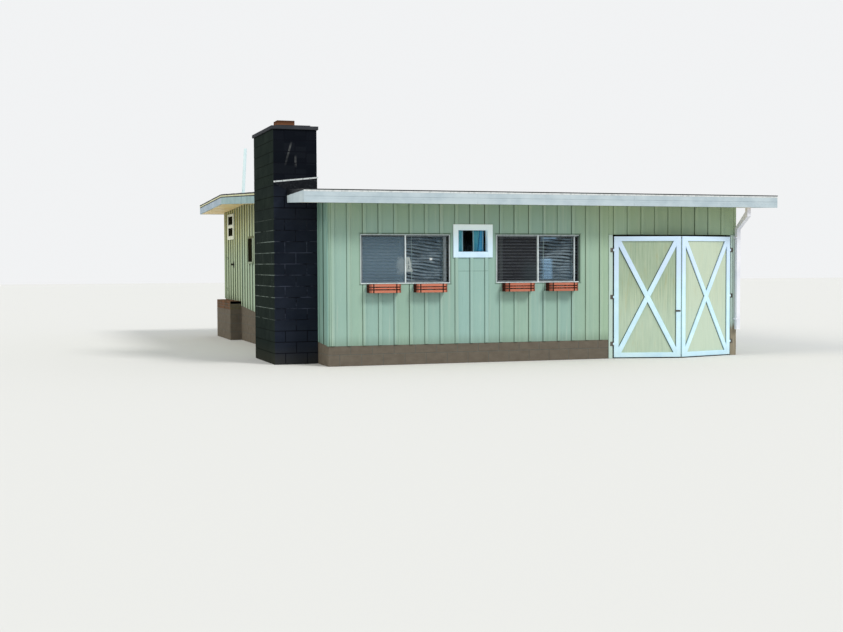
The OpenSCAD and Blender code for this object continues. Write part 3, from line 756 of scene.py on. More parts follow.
SAGE = siding_finish()
CORE = core_finish()
print("siding finishes ready")

# %% [markdown]
# ## Boards on every wall
# Each board is real: it stands 3 mm proud of its sheathing, has rounded arrises and a slight bow.
# A wall is one grid: lines at every board edge and window edge across, rows between them going
# up. Cells in a gap or a window are left out, and the rim of what is left is closed back to the
# wall.

# %% A sheet of boards with openings
EDGE_STEPS = np.array([0.0, 0.0015, 0.0045])


def cut_sheet(shape, across, rows, depth, solid, place):
    """The solid cells of a grid as a closed sheet: faces, backs, and a rim wherever a cell is open."""
    number = np.arange(across.size).reshape(across.shape)
    shift = across.size
    n, m = across.shape[0] - 1, across.shape[1] - 1
    a, b, c, d = (number[i:n + i, j:m + j][solid] for i, j in ((0, 0), (1, 0), (1, 1), (0, 1)))
    framed = np.pad(solid, 1)
    rims = []
    for here, (di, dj) in (((a, b), (0, -1)), ((b, c), (1, 0)), ((c, d), (0, 1)), ((d, a), (-1, 0))):
        open_side = ~framed[1 + di:1 + di + n, 1 + dj:1 + dj + m][solid]
        first, second = here[0][open_side], here[1][open_side]
        rims.append(np.stack([second, first, first + shift, second + shift], axis=1))
    faces = np.stack([a, b, c, d], axis=1)
    used = np.unique(np.concatenate([faces, faces + shift]))
    renumber = np.zeros(2 * shift, int)
    renumber[used] = np.arange(len(used))
    points = np.concatenate([place(across, rows, depth).reshape(-1, 3),
                             place(across, rows, depth * 0 - 0.001).reshape(-1, 3)])
    shape.add(points[used], *(renumber[group] for group in (faces, faces[:, ::-1] + shift, *rims)))


def board_lines(starts, stops, holes):
    """Lines across a wall: three at each rounded edge, three in each board, one at each side of a hole."""
    middle = starts[:, None] + (stops - starts)[:, None] * np.array([0.25, 0.5, 0.75])
    cuts = [edge for hole in holes for edge in hole[:2] if starts[0] < edge < stops[-1]]
    groups = (starts[:, None] + EDGE_STEPS, stops[:, None] - EDGE_STEPS, middle, np.array(cuts))
    return np.unique(np.round(np.concatenate([group.ravel() for group in groups]), 5))


def board_rows(lines, holes, low, high):
    """Heights up each line, from low(u) through the holes' edges to high(u)."""
    knots = sorted({edge for hole in holes for edge in hole[2:] if np.isfinite(edge)})
    levels = np.stack([low(lines), *(np.full(len(lines), knot) for knot in knots), high(lines)], axis=1)
    steps = np.linspace(0, 1, 6 if knots else 12, endpoint=False)
    rows = levels[:, :-1, None] + (levels[:, 1:] - levels[:, :-1])[:, :, None] * steps
    return np.concatenate([rows.reshape(len(lines), -1), levels[:, -1:]], axis=1)


def board_depth(lines, rows, starts, stops, seed):
    """BOARD_PROUD less a rounded edge, 2 mm * (1 - distance / 4.5 mm) squared, plus each board's own bow."""
    lean = np.random.default_rng(seed).uniform(-0.0008, 0.0008, (len(starts), 3))
    board = np.clip(np.searchsorted(starts, lines + 1e-6) - 1, 0, len(starts) - 1)
    edge = np.clip(np.minimum(lines - starts[board], stops[board] - lines), 0, EDGE_STEPS[-1])
    rounded = 0.002 * (1 - edge / EDGE_STEPS[-1]) ** 2
    share = (rows - rows[:, :1]) / (rows[:, -1:] - rows[:, :1])
    offset, bow, tilt = lean[board].T[:, :, None]
    own = offset + bow * np.sin(np.pi * share) + tilt * share
    return BOARD_PROUD - rounded[:, None] + own * (edge > 0.004)[:, None]


def board_sheet(shape, starts, stops, holes, low, high, place, seed):
    """Boards from starts to stops as one sheet, less the holes (u0, u1, v0, v1)."""
    lines = board_lines(starts, stops, holes)
    rows = board_rows(lines, holes, low, high)
    depth = board_depth(lines, rows, starts, stops, seed)
    mid_u, mid_v = (lines[1:] + lines[:-1]) / 2, (rows[1:, 1:] + rows[:-1, :-1]) / 2
    board = np.clip(np.searchsorted(starts, mid_u) - 1, 0, len(starts) - 1)
    inside = (mid_u > starts[0]) & (mid_u < stops[board])
    solid = np.repeat(inside[:, None], mid_v.shape[1], axis=1)
    for u0, u1, v0, v1 in holes:
        solid &= ~((mid_u > u0) & (mid_u < u1))[:, None] | (mid_v < v0) | (mid_v > v1)
    cut_sheet(shape, np.repeat(lines[:, None], rows.shape[1], axis=1), rows, depth, solid, place)


def batten_starts(first, last, rule):
    """Left edges of the battens that fit between two ends of a wall; rule is (origin, pitch)."""
    origin, pitch = rule
    count = np.arange(math.ceil((first - origin) / pitch), math.floor((last - origin) / pitch) + 1)
    starts = origin + pitch * count
    return starts[(starts >= first) & (starts + BATTEN <= last)]


def board_edges(first, last, rule):
    """Starts and stops of the boards between two ends, with a gap behind each batten."""
    middles = batten_starts(first + 0.02, last - 0.02, rule) + BATTEN / 2
    starts, stops = middles + BOARD_GAP / 2, middles - BOARD_GAP / 2
    return np.concatenate([[first], starts]), np.concatenate([stops, [last]])


# %% Nail the boards to the walls, and the battens over their joints
WALL_END = float(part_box("front_wall")[1][0])
DOOR_HEAD = float(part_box("front_wall_over_doors")[0][2])
SIDE_START, SIDE_STOP, SIDE_HEAD, _ = map(float, opening("left_wall_over_door", 1))
WHOLE = (-np.inf, np.inf)
FLANGE = 0.006
PATCH_SEAM = (2.450, 3.040, 1.684, 1.689)
small_hole = (SMALL_X - SMALL_WIDTH / 2, SMALL_X + SMALL_WIDTH / 2,
              SMALL_Z - SMALL_HEIGHT / 2, SMALL_Z + SMALL_HEIGHT / 2)
side_hole = (7.150, 7.590, 1.890, 2.430)
stack_hole = (STACK[0][1] - 0.004, STACK[1][1] + 0.004, *WHOLE)


def level(height):
    """The same height all along a wall."""
    return lambda u: np.full(np.shape(u), float(height))


def under_soffit(u):
    """Just under the soffit, at a distance u back from the water wall."""
    return soffit(u) - 0.006


def wider(holes, margin):
    """The same holes with a margin all round, for the trim that battens stop against."""
    return [(u0 - margin, u1 + margin, v0 - margin, v1 + margin) for u0, u1, v0, v1 in holes]


def uncut(bottom, top, left, right, holes):
    """What the holes leave of an upright strip: the pieces longer than 30 mm."""
    parts = [(bottom, top)]
    for u0, u1, v0, v1 in holes:
        if right > u0 and left < u1:
            halves = [half for low, high in parts for half in ((low, min(high, v0)), (max(low, v1), high))]
            parts = [(low, high) for low, high in halves if high - low > 0.03]
    return parts


def add_battens(shape, nails, starts, holes, low, high, place, seed, width=BATTEN):
    """Battens cut where a hole crosses them; each has a bevel, its own depth and a row of nails."""
    chance = np.random.default_rng(seed + 100)
    for start in starts:
        middle = np.array([start + width / 2])
        front = BATTEN_PROUD + chance.uniform(-0.0012, 0.0008)
        for bottom, top in uncut(float(low(middle)[0]), float(high(middle)[0]), start, start + width, holes):
            u0, u1 = start + chance.uniform(-0.001, 0.001, 2) + np.array([0, width])
            outline = rectangles(u0, bottom + chance.uniform(0, 0.006), u1, top)
            planks(shape, outline, -0.001, front, 0.0025, place)
            v = np.arange(bottom + 0.06, top - 0.03, 0.41)
            u = (u0 + u1) / 2 + chance.normal(0, 0.004, len(v))
            turned(nails, place(u, v, np.full(len(v), front - 0.0005)), NAIL, facing(place))


def wall_boards(name, first, last, rule, low, high, place, seed, holes=(), margin=0.0, extra=(), seams=()):
    """One wall: its boards, its battens and their nails; a seam cuts both, the battens a little less."""
    boards, battens, nails = Shape(), Shape(), Shape()
    board_sheet(boards, *board_edges(first, last, rule), [*holes, *seams], low, high, place, seed)
    boards.piece(name + "_boards", SAGE, "siding_green")
    blocked = wider(holes, margin) + wider(seams, -0.0015) + list(extra)
    add_battens(battens, nails, batten_starts(first, last, rule), blocked, low, high, place, seed)
    battens.piece(name + "_battens", SAGE, "siding_green")
    if nails.count:
        nails.piece(name + "_nails", SAGE, "siding_green")


small_trim = opening("small_window", 0)
side_trim = opening("side_window", 1)
PLANTERS = ("planter_1", "planter_2", "planter_3", "planter_4")


def planter_box(name):
    """Corners of a planter as the photograph shows it: a little shorter and lower than its solid."""
    (x0, y0, z0), (x1, y1, z1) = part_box(name)
    return (x0 + 0.036, y0, z0 + 0.014), (x1 - 0.034, y1, z1)


planter_clear = [(low[0], high[0], low[2], high[2]) for low, high in map(planter_box, PLANTERS)]
eave_front, eave_back = level(soffit(0) - 0.006), level(soffit(WALL_DEPTH) - 0.006)
wall_boards("front_wall", 0.0, WALL_END, FRONT_RULE, level(SIDING_LOW), eave_front, front_face, 1,
            [*WINDOWS, small_hole], FLANGE, [small_trim, *planter_clear], [PATCH_SEAM])
wall_boards("over_doors", WALL_END + 0.004, WALL_LENGTH, FRONT_RULE, level(DOOR_HEAD + 0.004), eave_front,
            front_face, 2)
wall_boards("left_wall_front", -0.003, SIDE_START - 0.002, SIDE_RULE, siding_base, under_soffit, left_face, 3,
            [side_hole, stack_hole], extra=[side_trim])
wall_boards("left_over_door", SIDE_START, SIDE_STOP, SIDE_RULE, level(SIDE_HEAD + 0.002), under_soffit,
            left_face, 4)
wall_boards("left_wall_rear", SIDE_STOP + 0.006, WALL_DEPTH, SIDE_RULE, siding_base, under_soffit,
            left_face, 5)
wall_boards("right_wall", 0.142, WALL_DEPTH, SIDE_RULE, siding_base, under_soffit, right_face, 6)
wall_boards("back_wall", 0.0, WALL_LENGTH, FRONT_RULE, level(SIDING_HIGH), eave_back, back_face, 7)


def corner_boards():
    """Narrow boards that close the outside corners, on both faces of each corner."""
    shape, nails = Shape(), Shape()
    add_battens(shape, nails, [0.024], [], level(SIDING_LOW), eave_front, front_face, 21, width=0.042)
    add_battens(shape, nails, [-0.003], [], siding_base, under_soffit, left_face, 22, width=0.060)
    for face, seed in ((left_face, 23), (right_face, 24)):
        add_battens(shape, nails, [WALL_DEPTH - 0.061], [], siding_base, under_soffit, face, seed, 0.060)
    for start in (-0.020, WALL_LENGTH - 0.044):
        add_battens(shape, nails, [start], [], level(SIDING_HIGH), eave_back, back_face, 25, width=0.064)
    shape.piece("corner_boards", SAGE, "siding_green")
    nails.piece("corner_nails", SAGE, "siding_green")


corner_boards()

# %% [markdown]
# ## White trim and other painted boards
# The white boards are satin paint over sawn wood: faint brush lines along the board, a little
# cold grey where rain sits, dirt near the ground. The fascia is a shade bluer, the rake boards are
# the same white in painted shade, and the soffit is a warm cream, made warm and bright as painted
# bounce light from below.

# %% Trim finishes
def white_finish(name, clean, dull, wet=0.35, share=0.8, top=None, rise=(1.2, 1.8)):
    """Satin paint: two tones in soft clouds, brush lines, specks, dirt low down, and a top tone high up."""
    white = Finish(name, specular=0.12)
    z = white.along("z")
    clouds = white.noise(0.35, detail=4)
    brush = white.noise((0.5, 0.5, 0.006), detail=2) + white.noise((0.006, 0.006, 0.5), detail=2)
    specks = white.ease(white.cells(0.05), 0.10, 0.04)
    white.tones(white.ease(clouds, 0.35, 0.75), clean, dull, share)
    white.coat(white.ease(brush, 1.05, 1.5) * 0.3, *dull, share)
    white.coat(specks * 0.25, 150, 148, 138)
    if top is not None:
        white.coat(white.ease(z + clouds * 0.4 - 0.2, *rise) * 0.75, *top, share)
    dirt = white.ease(z + clouds * 0.25, 0.42, 0.10)
    white.coat(dirt * wet, 140, 136, 118)
    white.bump(brush, 0.0008, 0.35)
    return white.set(Base_Color=white.colour, Roughness=clouds * 0.2 + 0.38)


FASCIA = white_finish("fascia_white", (206, 220, 226), (186, 202, 210))
# Painted shade: the rake boards are the fascia's white, duller and greener at the sides and duller and bluer
# behind the ridge.
SHADED_RAKE = white_finish("rake_white_in_shade", (156, 187, 190), (133, 163, 164))
SHADED_REAR_RAKE = white_finish("rear_rake_white_in_shade", (174, 192, 208), (152, 172, 188))
# Painted bounce light: the soffit's cream is made warm and as bright as paint can be.
CREAM = white_finish("soffit_cream", (255, 232, 178), (242, 212, 154), share=1.0)


def assign(finish, *nodes):
    """Gives CAD nodes a finish in their material slots."""
    for node in nodes:
        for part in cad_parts[node].material_slots:
            part.material = finish
    print(len(nodes), "nodes take", finish.name)


assign(CORE, "front_wall", "front_wall_over_doors", "left_wall_front", "left_wall_over_door",
       "left_wall_rear", "back_wall", "right_wall")
assign(FASCIA, "fascia_front", "fascia_back")
assign(SHADED_RAKE, "rake_left_front", "rake_left_rear", "rake_right")
assign(CREAM, "roof_front", "roof_back")
# Painted light: the surround is made brighter, more so towards its top, against the eave's shade.
SURROUND = white_finish("surround_white", (212, 236, 250), (198, 224, 244), share=1.0, top=(240, 254, 255),
                        rise=(2.10, 2.45))
DOOR_WHITE = white_finish("door_white", (214, 244, 255), (196, 230, 246), wet=0.15, share=0.97,
                          top=(208, 226, 250))
SPOUT = white_finish("spout_white", (244, 243, 250), (228, 230, 240), wet=0.2, share=0.9)
assign(SURROUND, "small_window")
assign(SPOUT, "downspout")
assign(DOOR_WHITE, "boat_door_left_frame", "boat_door_right_frame")

# %% [markdown]
# ## The chimney, block by block
# The stack is laid in half bond. A course with two whole blocks across its front lies between
# courses that start and end with a half, and the half block shows at the other side of the
# corner as a header. Every block stands 3 mm proud of the core, so the joints are true
# recesses under thick black paint.

# %% Black masonry paint
def stack_finish():
    """Black paint: bluer on the front as painted sky reflection, olive on the left as dust and painted
    sunlight, darker towards the front's top, and rubbed pale in streaks.
    """
    black = Finish("stack_black", specular=0.0)
    x, y, z = black.axes()
    pits = black.noise(0.012, detail=3)
    clouds = black.noise((0.35, 0.35, 0.25), detail=4)
    side = black.ease(x, STACK[0][0] + 0.012, STACK[0][0] - 0.001)
    # Painted light: the front bluer for the sky it reflects, the left olive for sunlit dust; the front darker
    # towards its top.
    front = black.mix(clouds, paint(27, 32, 42), paint(44, 50, 63))
    front = black.mix(black.ease(z, 2.9, 3.4) * 0.75, front, paint(12, 14, 17))
    left = black.mix(clouds, paint(28, 36, 34), paint(50, 58, 53))
    black.colour = black.mix(side, front, left)
    tone = black.each(z / COURSE + black.each(x / (BLOCK / 2)) * 7.0)
    black.coat(tone * 0.18, 46, 50, 56)
    black.coat(black.ease(pits, 0.62, 0.80) * 0.22, 78, 78, 76)
    slant = x - (z - 3.62) * 0.28
    streak = black.band(slant, -0.612, -0.600, -0.578, -0.566)
    streak = streak * black.band(z, 3.58, 3.72, 3.95, 4.06)
    second = black.band(x, -0.422, -0.414, -0.386, -0.376) * black.band(z, 3.56, 3.66, 3.74, 3.82)
    rub = (streak + second * 0.7) * black.ease(clouds, 0.25, 0.6) * (y < STACK[0][1] + 0.01)
    black.coat(rub * 0.34, 150, 152, 150)
    foot = black.ease(z + clouds * 0.2, 0.5, 0.05)
    black.coat(foot * 0.5, 70, 68, 60)
    black.bump(pits + clouds, 0.003, 0.6)
    return black.set(Base_Color=black.colour, Roughness=pits * 0.25 + 0.55)


def mortar_finish():
    """Mortar under the same paint: dark on the front and worn pale on the left face; the front's blue and
    the left's green grey are painted light, as on the blocks.
    """
    mortar = Finish("stack_mortar", roughness=0.9, specular=0.0)
    x, z = mortar.along("x"), mortar.along("z")
    clouds = mortar.noise((0.2, 0.5, 0.12), detail=4)
    worn = mortar.band(z, 0.6, 1.0, 2.2, 2.9)
    # Painted light: the front mortar is bluer and the left greener, as on the blocks.
    front = mortar.mix(mortar.ease(clouds, 0.35, 0.65) * worn, paint(22, 24, 31), paint(70, 75, 90))
    bare = mortar.ease(clouds, 0.30, 0.62) * (worn * 0.96 + 0.02)
    left = mortar.mix(bare, paint(27, 32, 29), paint(122, 134, 128))
    side = mortar.ease(x, STACK[0][0] + 0.03, STACK[0][0] + 0.002)
    return mortar.set(Base_Color=mortar.mix(side, front, left))


BLACK, MORTAR = stack_finish(), mortar_finish()
assign(MORTAR, "chimney_stack")

# %% Lay the blocks
JOINT = 0.012
PROUD = 0.003
INSET = 0.030


def bond(length, first_piece, unit):
    """Low and high ends of the units along one face: a first piece, whole units, then the rest."""
    ends = np.concatenate([[0.0], np.arange(first_piece, length - 0.02, unit), [length]])
    return ends[:-1] + JOINT / 2 * (ends[:-1] > 0), ends[1:] - JOINT / 2 * (ends[1:] < length)


def stack_blocks():
    """Each course: faces on the front and back, then on the two sides, as boxes set into the core."""
    shape = Shape()
    chance = np.random.default_rng(11)
    low, high = STACK
    wide, deep = high[0] - low[0], high[1] - low[1]
    for course in range(round(high[2] / COURSE)):
        bottom, top = course * COURSE + JOINT / 2 * (course > 0), (course + 1) * COURSE - JOINT / 2
        half = course % 2 == 0
        a, b = bond(wide, BLOCK / 2 if half else BLOCK, BLOCK)
        left, right = low[0] + a - PROUD * (a == 0), low[0] + b + PROUD * (b > wide - 0.001)
        jitter = chance.uniform(-0.0012, 0.0012, (2, len(a)))
        for k, (face, out) in enumerate(((low[1], -1), (high[1], 1))):
            near, far = face - out * INSET, face + out * (PROUD + jitter[k])
            span(shape, xyz(left, near, bottom), xyz(right, far, top), 0.004)
        c, d = bond(deep, BLOCK if half else BLOCK / 2, BLOCK)
        c[0], d[-1] = INSET, deep - INSET
        jitter = chance.uniform(-0.0012, 0.0012, (2, len(c)))
        for k, (face, out, proud) in enumerate(((low[0], -1, PROUD), (high[0], 1, 0.002))):
            near, far = face - out * INSET, face + out * (proud + jitter[k])
            span(shape, xyz(near, low[1] + c, bottom), xyz(far, low[1] + d, top), 0.003)
    shape.piece("stack_blocks", BLACK, "chimney_paint")


def stack_beds():
    """Mortar beds: a thin slab at every course line, 1 mm proud of the core."""
    shape = Shape()
    low, high = STACK
    z = np.arange(1, round(high[2] / COURSE)) * COURSE
    span(shape, xyz(*(low[:2] - 0.001), z - 0.007), xyz(*(high[:2] + 0.001), z + 0.007), 0.0005)
    shape.piece("stack_beds", MORTAR, "chimney_paint")


stack_blocks()
stack_beds()

# %% [markdown]
# The crown is a cast slab with a sloped wash of mortar up to the clay flue, and both are sooty.

# %% Crown and flue
def plain_masonry(name, light, dark, grain, rough=0.85, soot=0.0):
    """Two mixed tones with pits of a given grain size and a darker top where soot falls."""
    stone = Finish(name, roughness=rough, specular=0.04)
    clouds = stone.noise((grain * 20, grain * 20, grain * 12), detail=4)
    pits = stone.noise((grain, grain, grain), detail=3)
    stone.tones(clouds, light, dark)
    stone.coat(stone.ease(pits, 0.6, 0.8) * 0.4, *(0.55 * c for c in dark))
    if soot:
        stone.coat(stone.ease(stone.along("z"), 4.36, 4.52) * soot, 22, 20, 20)
    stone.bump(pits + clouds, grain * 0.3, 0.6)
    return stone.set(Base_Color=stone.colour)


CROWN = plain_masonry("crown_mortar", (74, 76, 80), (46, 48, 54), 0.01)
CLAY = plain_masonry("flue_clay", (176, 120, 84), (146, 96, 70), 0.006, soot=0.8)
assign(CROWN, "chimney_crown")
assign(CLAY, "flue_tile")


def crown_wash():
    """A ring that slopes from near the slab's edge up to the flue, square within and rounder outside."""
    shape = Shape()
    flue_low, flue_high = (np.array(corner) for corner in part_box("flue_tile"))
    middle = (flue_low + flue_high) / 2
    reach = (flue_high[0] - flue_low[0]) / 2
    angle = np.linspace(0, 2 * np.pi, 49)
    square = 1 / np.maximum(np.abs(np.cos(angle)), np.abs(np.sin(angle)))
    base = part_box("chimney_crown")[1][2]
    share = np.linspace(0, 1, 6)[:, None]
    radius = (reach + 0.001) * square * (1 - share) + share * (reach + 0.13) * (0.6 * square + 0.4)
    height = base + 0.045 * (1 - share) ** 1.6 + 0.002
    top = xyz(middle[0] + radius * np.cos(angle), middle[1] + radius * np.sin(angle), height)
    skin(shape, top, top * [1, 1, 0] + [0, 0, base - 0.002])
    shape.piece("crown_wash", CROWN, "chimney_paint", smooth=True)


crown_wash()

# %% [markdown]
# ## The bitumen upstand
# Where the stack comes through the eave, a bitumen sheet is dressed up its face, under a metal
# bar. It was torched on by hand, so it is creased and shines along the creases. The front sheet
# is a grid whose depth is a sum of slanted ridges, flattened where the bar clamps it.

# %% Wrinkled membrane
def bitumen_finish():
    """Near black, glossier on soft undulations, with grey patches that are partly dust and partly painted
    highlight.
    """
    tar = Finish("bitumen", specular=0.10)
    dust = tar.noise((0.05, 0.05, 0.03), detail=5, bend=1.2)
    # Grey patches: partly dust, partly painted highlight on the creased sheet.
    tar.tones(tar.ease(dust, 0.58, 0.76), (20, 23, 29), (92, 102, 104))
    tar.bump(tar.noise(0.02, detail=4), 0.004, 0.8)
    return tar.set(Base_Color=tar.colour, Roughness=dust * 0.5 + 0.25)


TAR = bitumen_finish()


def creases(u, v, seed):
    """Mean of eight slanted ridges: each is a sharpened sine of a turned coordinate."""
    chance = np.random.default_rng(seed)
    total = np.zeros(np.shape(u))
    turns = chance.uniform(-1.2, 1.2, 8)
    pitches = chance.uniform(0.05, 0.16, 8)
    for turn, pitch, phase in zip(turns, pitches, chance.uniform(0, 6, 8)):
        slant = (u * np.cos(turn) + v * np.sin(turn)) * 2 * np.pi / pitch
        total += np.maximum(np.sin(slant + phase + 1.7 * np.sin(v * 19 + phase)), 0) ** 3
    return total / 8


def upstand():
    """Creased sheets on the front, right and back of the stack, pressed flat at their head and foot."""
    shape = Shape()
    (left, y0, _), (_, y1, _) = STACK
    bottom = roof_top(y0) - 0.016
    u, v = grid(90, 36)
    free = np.clip(np.minimum(v, 1 - v) * 4.4, 0, 1)
    foot = bottom + 0.150 * (1 - np.clip(-u * left / (LEFT_EDGE - left), 0, 1))
    head = bottom + 0.164 + 0.084 * u
    x = left - 0.001 + u * (0.001 - left)
    z = foot + (head - foot) * v
    depth = 0.0045 + 0.013 * creases(x, z, 3) * free
    skin(shape, xyz(x, y0 - np.minimum(depth, 0.0165), z), xyz(x, y0 + 0.002, z))
    y = y0 - 0.006 + u * (y1 - y0 + 0.012)
    z = bottom + soffit(y) - soffit(y0) + v * (0.250 - 0.130 * u)
    skin(shape, xyz(0.001 + 0.0024 * creases(y, z, 4) * free, y, z), xyz(-0.0055, y, z))
    x = LEFT_EDGE - 0.006 + u * (0.007 - LEFT_EDGE)
    z = bottom + soffit(y1) - soffit(y0) + 0.120 * v
    skin(shape, xyz(x, y1 + 0.002 + 0.005 * creases(x, z, 5) * free, z), xyz(x, y1 - 0.001, z))
    made = shape.piece("stack_upstand", TAR, "bitumen_flashing", smooth=True)
    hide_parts("chimney_flashing")


upstand()


def metal_finish(name, light, dark, rough):
    """Dulled metal with fine streaks and small stains."""
    metal = Finish(name, metallic=0.75, specular=0.5)
    stain = metal.noise((0.04, 0.04, 0.12), detail=4)
    metal.tones(metal.ease(stain, 0.4, 0.7), light, dark)
    metal.bump(metal.noise((0.004, 0.004, 0.08)), 0.0004, 0.4)
    return metal.set(Base_Color=metal.colour, Roughness=stain * 0.25 + rough)


ALUMINIUM = metal_finish("mill_aluminium", (232, 238, 238), (196, 204, 205), 0.36)
STEEL = metal_finish("weathered_steel", (120, 116, 108), (82, 74, 66), 0.5)
BRONZE = metal_finish("dark_bronze", (44, 40, 30), (26, 25, 19), 0.5)
assign(ALUMINIUM, "flashing_bar")
assign(STEEL, "boat_door_hinge_pins", "side_door_hinge_pins", "boat_door_bolt")
assign(BRONZE, "side_door_knob")


def bar_screws():
    """Seven screws along the sloping bar."""
    shape = Shape()
    low, high = (np.array(corner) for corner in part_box("flashing_bar"))
    share = np.linspace(0.05, 0.95, 7)[:, None]
    start = np.array([low[0], low[1] - 0.0005, low[2] + 0.013])
    end = np.array([high[0], low[1] - 0.0005, high[2] - 0.013])
    turned(shape, start + (end - start) * share, SCREW, (0, -1, 0))
    shape.piece("bar_screws", STEEL, "hinge_steel")


bar_screws()

# %% [markdown]
# ## The roof and its edges
# The roof is nearly flat, so it is covered with rolls of grey mineral felt, a metre wide, laid from
# the eave upwards. Each roll laps over the one below, which leaves a 4 mm step along its lower
# edge. The fascia is built up from three boards under a metal drip strip.

# %% Rolls of felt
def felt_finish():
    """Grey mineral felt: fine grit, water stains along the slope and a paler edge at each lap."""
    felt = Finish("mineral_felt", roughness=0.95, specular=0.12)
    grit = felt.noise(0.004, detail=2)
    stain = felt.noise((0.8, 2.0, 0.5), detail=5, bend=0.5)
    y = felt.along("y")
    front = y < RIDGE
    row = front * (y - FRONT_EDGE) + (1 - front) * (BACK_EDGE - y + 20)
    place = felt.fraction(row)
    felt.tones(stain, (74, 76, 80), (104, 104, 102))
    felt.coat(felt.each(row) * 0.30, 122, 122, 120)
    felt.coat(felt.ease(place, 0.080, 0.066) * 0.25, 126, 126, 124)
    felt.coat(felt.ease(place, 0.984, 0.990) * 0.65, 34, 35, 38)
    felt.coat(felt.ease(grit, 0.55, 0.75) * 0.5, 150, 150, 148)
    felt.coat(felt.ease(stain, 0.62, 0.8) * 0.5, 66, 62, 50)
    felt.bump(grit, 0.002, 0.7)
    return felt.set(Base_Color=felt.colour)


FELT = felt_finish()
assign(TAR, "roofing_front", "roofing_back")


def felt_rolls():
    """Rolls as skins: height = roof + 1.5 mm + 4 mm * (1 - v) + a wave of 1.2 mm, with v = 0 at the lap."""
    shape = Shape()
    chance = np.random.default_rng(31)
    front = [(FRONT_EDGE - 0.005 + k, min(FRONT_EDGE + k + 1.08, RIDGE)) for k in np.arange(0, 8.7, 1.0)]
    rear = [(BACK_EDGE + 0.005 - k, max(BACK_EDGE - k - 1.08, RIDGE)) for k in np.arange(0, 3.4, 1.0)]
    u, v = np.meshgrid(np.linspace(0, 1, 56), [0, 0.004, 0.02, 0.3, 0.6, 0.92, 1.0], indexing="ij")
    for lower, upper in [*front, *rear]:
        turn = 0.006 * chance.uniform(-1, 1) * (abs(lower - FRONT_EDGE) > 0.1)
        beside_stack = upper > STACK[0][1] - 0.02 and lower < STACK[1][1] + 0.02
        left = 0.010 if beside_stack else LEFT_EDGE - 0.004
        x = left + (RIGHT_EDGE + 0.004 - left) * u
        y = lower + (upper - lower) * v + turn * np.sin(x * 1.7) * (v < 0.5)
        y = np.clip(y, FRONT_EDGE - 0.005, BACK_EDGE + 0.005)
        wave = 0.0012 * np.sin(x * 2.3 + lower) * np.sin(v * 3.1)
        lift = 0.0015 + 0.004 * (1 - v) + wave - 0.004 * (v == 0)
        skin(shape, xyz(x, y, roof_top(y) + np.maximum(lift, 0.0006)), xyz(x, y, roof_top(y) - 0.001))
    shape.piece("felt_rolls", FELT, "roof_membrane")


felt_rolls()

# %% Fascia boards, drip strip and rake trim
DRIP = metal_finish("drip_strip", (236, 240, 240), (206, 212, 212), 0.4)
BEHIND_STACK = STACK[1][1] + 0.012


def rake_board(shape, side, start, stop, low, high, proud, bevel=0.0015):
    """A board along a rake between two distances back, with edges low and high above the soffit."""
    corners = [(start, soffit(start) + low), (stop, soffit(stop) + low),
               (stop, soffit(stop) + high), (start, soffit(start) + high)]
    planks(shape, corners, -0.002, proud, bevel, rake_face(side))


def fascia_boards():
    """Three boards one above the other in front, one behind, a folded strip on top, and the rakes."""
    boards, strip, rakes, rear = Shape(), Shape(), Shape(), Shape()
    ends = np.array([LEFT_EDGE, 2.62, 5.74, RIGHT_EDGE])
    layers = ((-0.006, 0.055, 0.0050), (0.062, 0.098, 0.0010), (0.106, 0.186, 0.0045))
    for face, base, rows in ((front_edge_face, soffit(FRONT_EDGE), layers),
                             (back_edge_face, soffit(BACK_EDGE), ((0.0, 0.186, 0.004),))):
        for low, high, proud in rows:
            outlines = rectangles(ends[:-1] + 0.001, base + low, ends[1:] - 0.001, base + high)
            planks(boards, outlines, -0.002, proud, 0.0015, face)
        outlines = rectangles(LEFT_EDGE - 0.002, base + 0.184, RIGHT_EDGE + 0.002, base + 0.222)
        planks(strip, outlines, -0.002, 0.0058, 0.002, face)
    left, right = (BEHIND_STACK, 5.4, RIDGE, BACK_EDGE), (FRONT_EDGE, 2.3, 5.2, RIDGE, BACK_EDGE)
    for side, cuts in ((-1, left), (1, right)):
        for start, stop in zip(cuts, cuts[1:]):
            shape = rakes if stop <= RIDGE else rear
            rake_board(shape, side, start + 0.001, stop - 0.001, -0.004, 0.148, 0.0035)
    boards.piece("fascia_boards", FASCIA, "trim_white")
    rakes.piece("rake_boards", SHADED_RAKE, "trim_white")
    rear.piece("rear_rake_boards", SHADED_REAR_RAKE, "trim_white")
    strip.piece("drip_strip", DRIP, "trim_white")


fascia_boards()


def rake_trim():
    """A cream strip under the dark roof edge, with the dark edge over it and a dark strip of painted shade
    under it, along both rakes.
    """
    shape, joint = Shape(), Shape()
    last = BACK_EDGE - 0.002
    for side, cuts in ((-1, (BEHIND_STACK, 5.4, RIDGE, last)), (1, (FRONT_EDGE + 0.002, 3.3, RIDGE, last))):
        for start, stop in zip(cuts, cuts[1:]):
            rake_board(shape, side, start, stop, 0.171, 0.199, 0.0055)
            rake_board(joint, side, start, stop, 0.200, 0.217, 0.0050, 0.0005)
            # Painted shade: a dark strip in the recess under the cream strip.
            rake_board(joint, side, start, stop, 0.149, 0.170, 0.0010, 0.0005)
    joint.piece("rake_joint", TAR, "bitumen_flashing")
    shape.piece("rake_trim", white_finish("rake_cream", (226, 226, 184), (204, 204, 156)), "trim_white")


rake_trim()


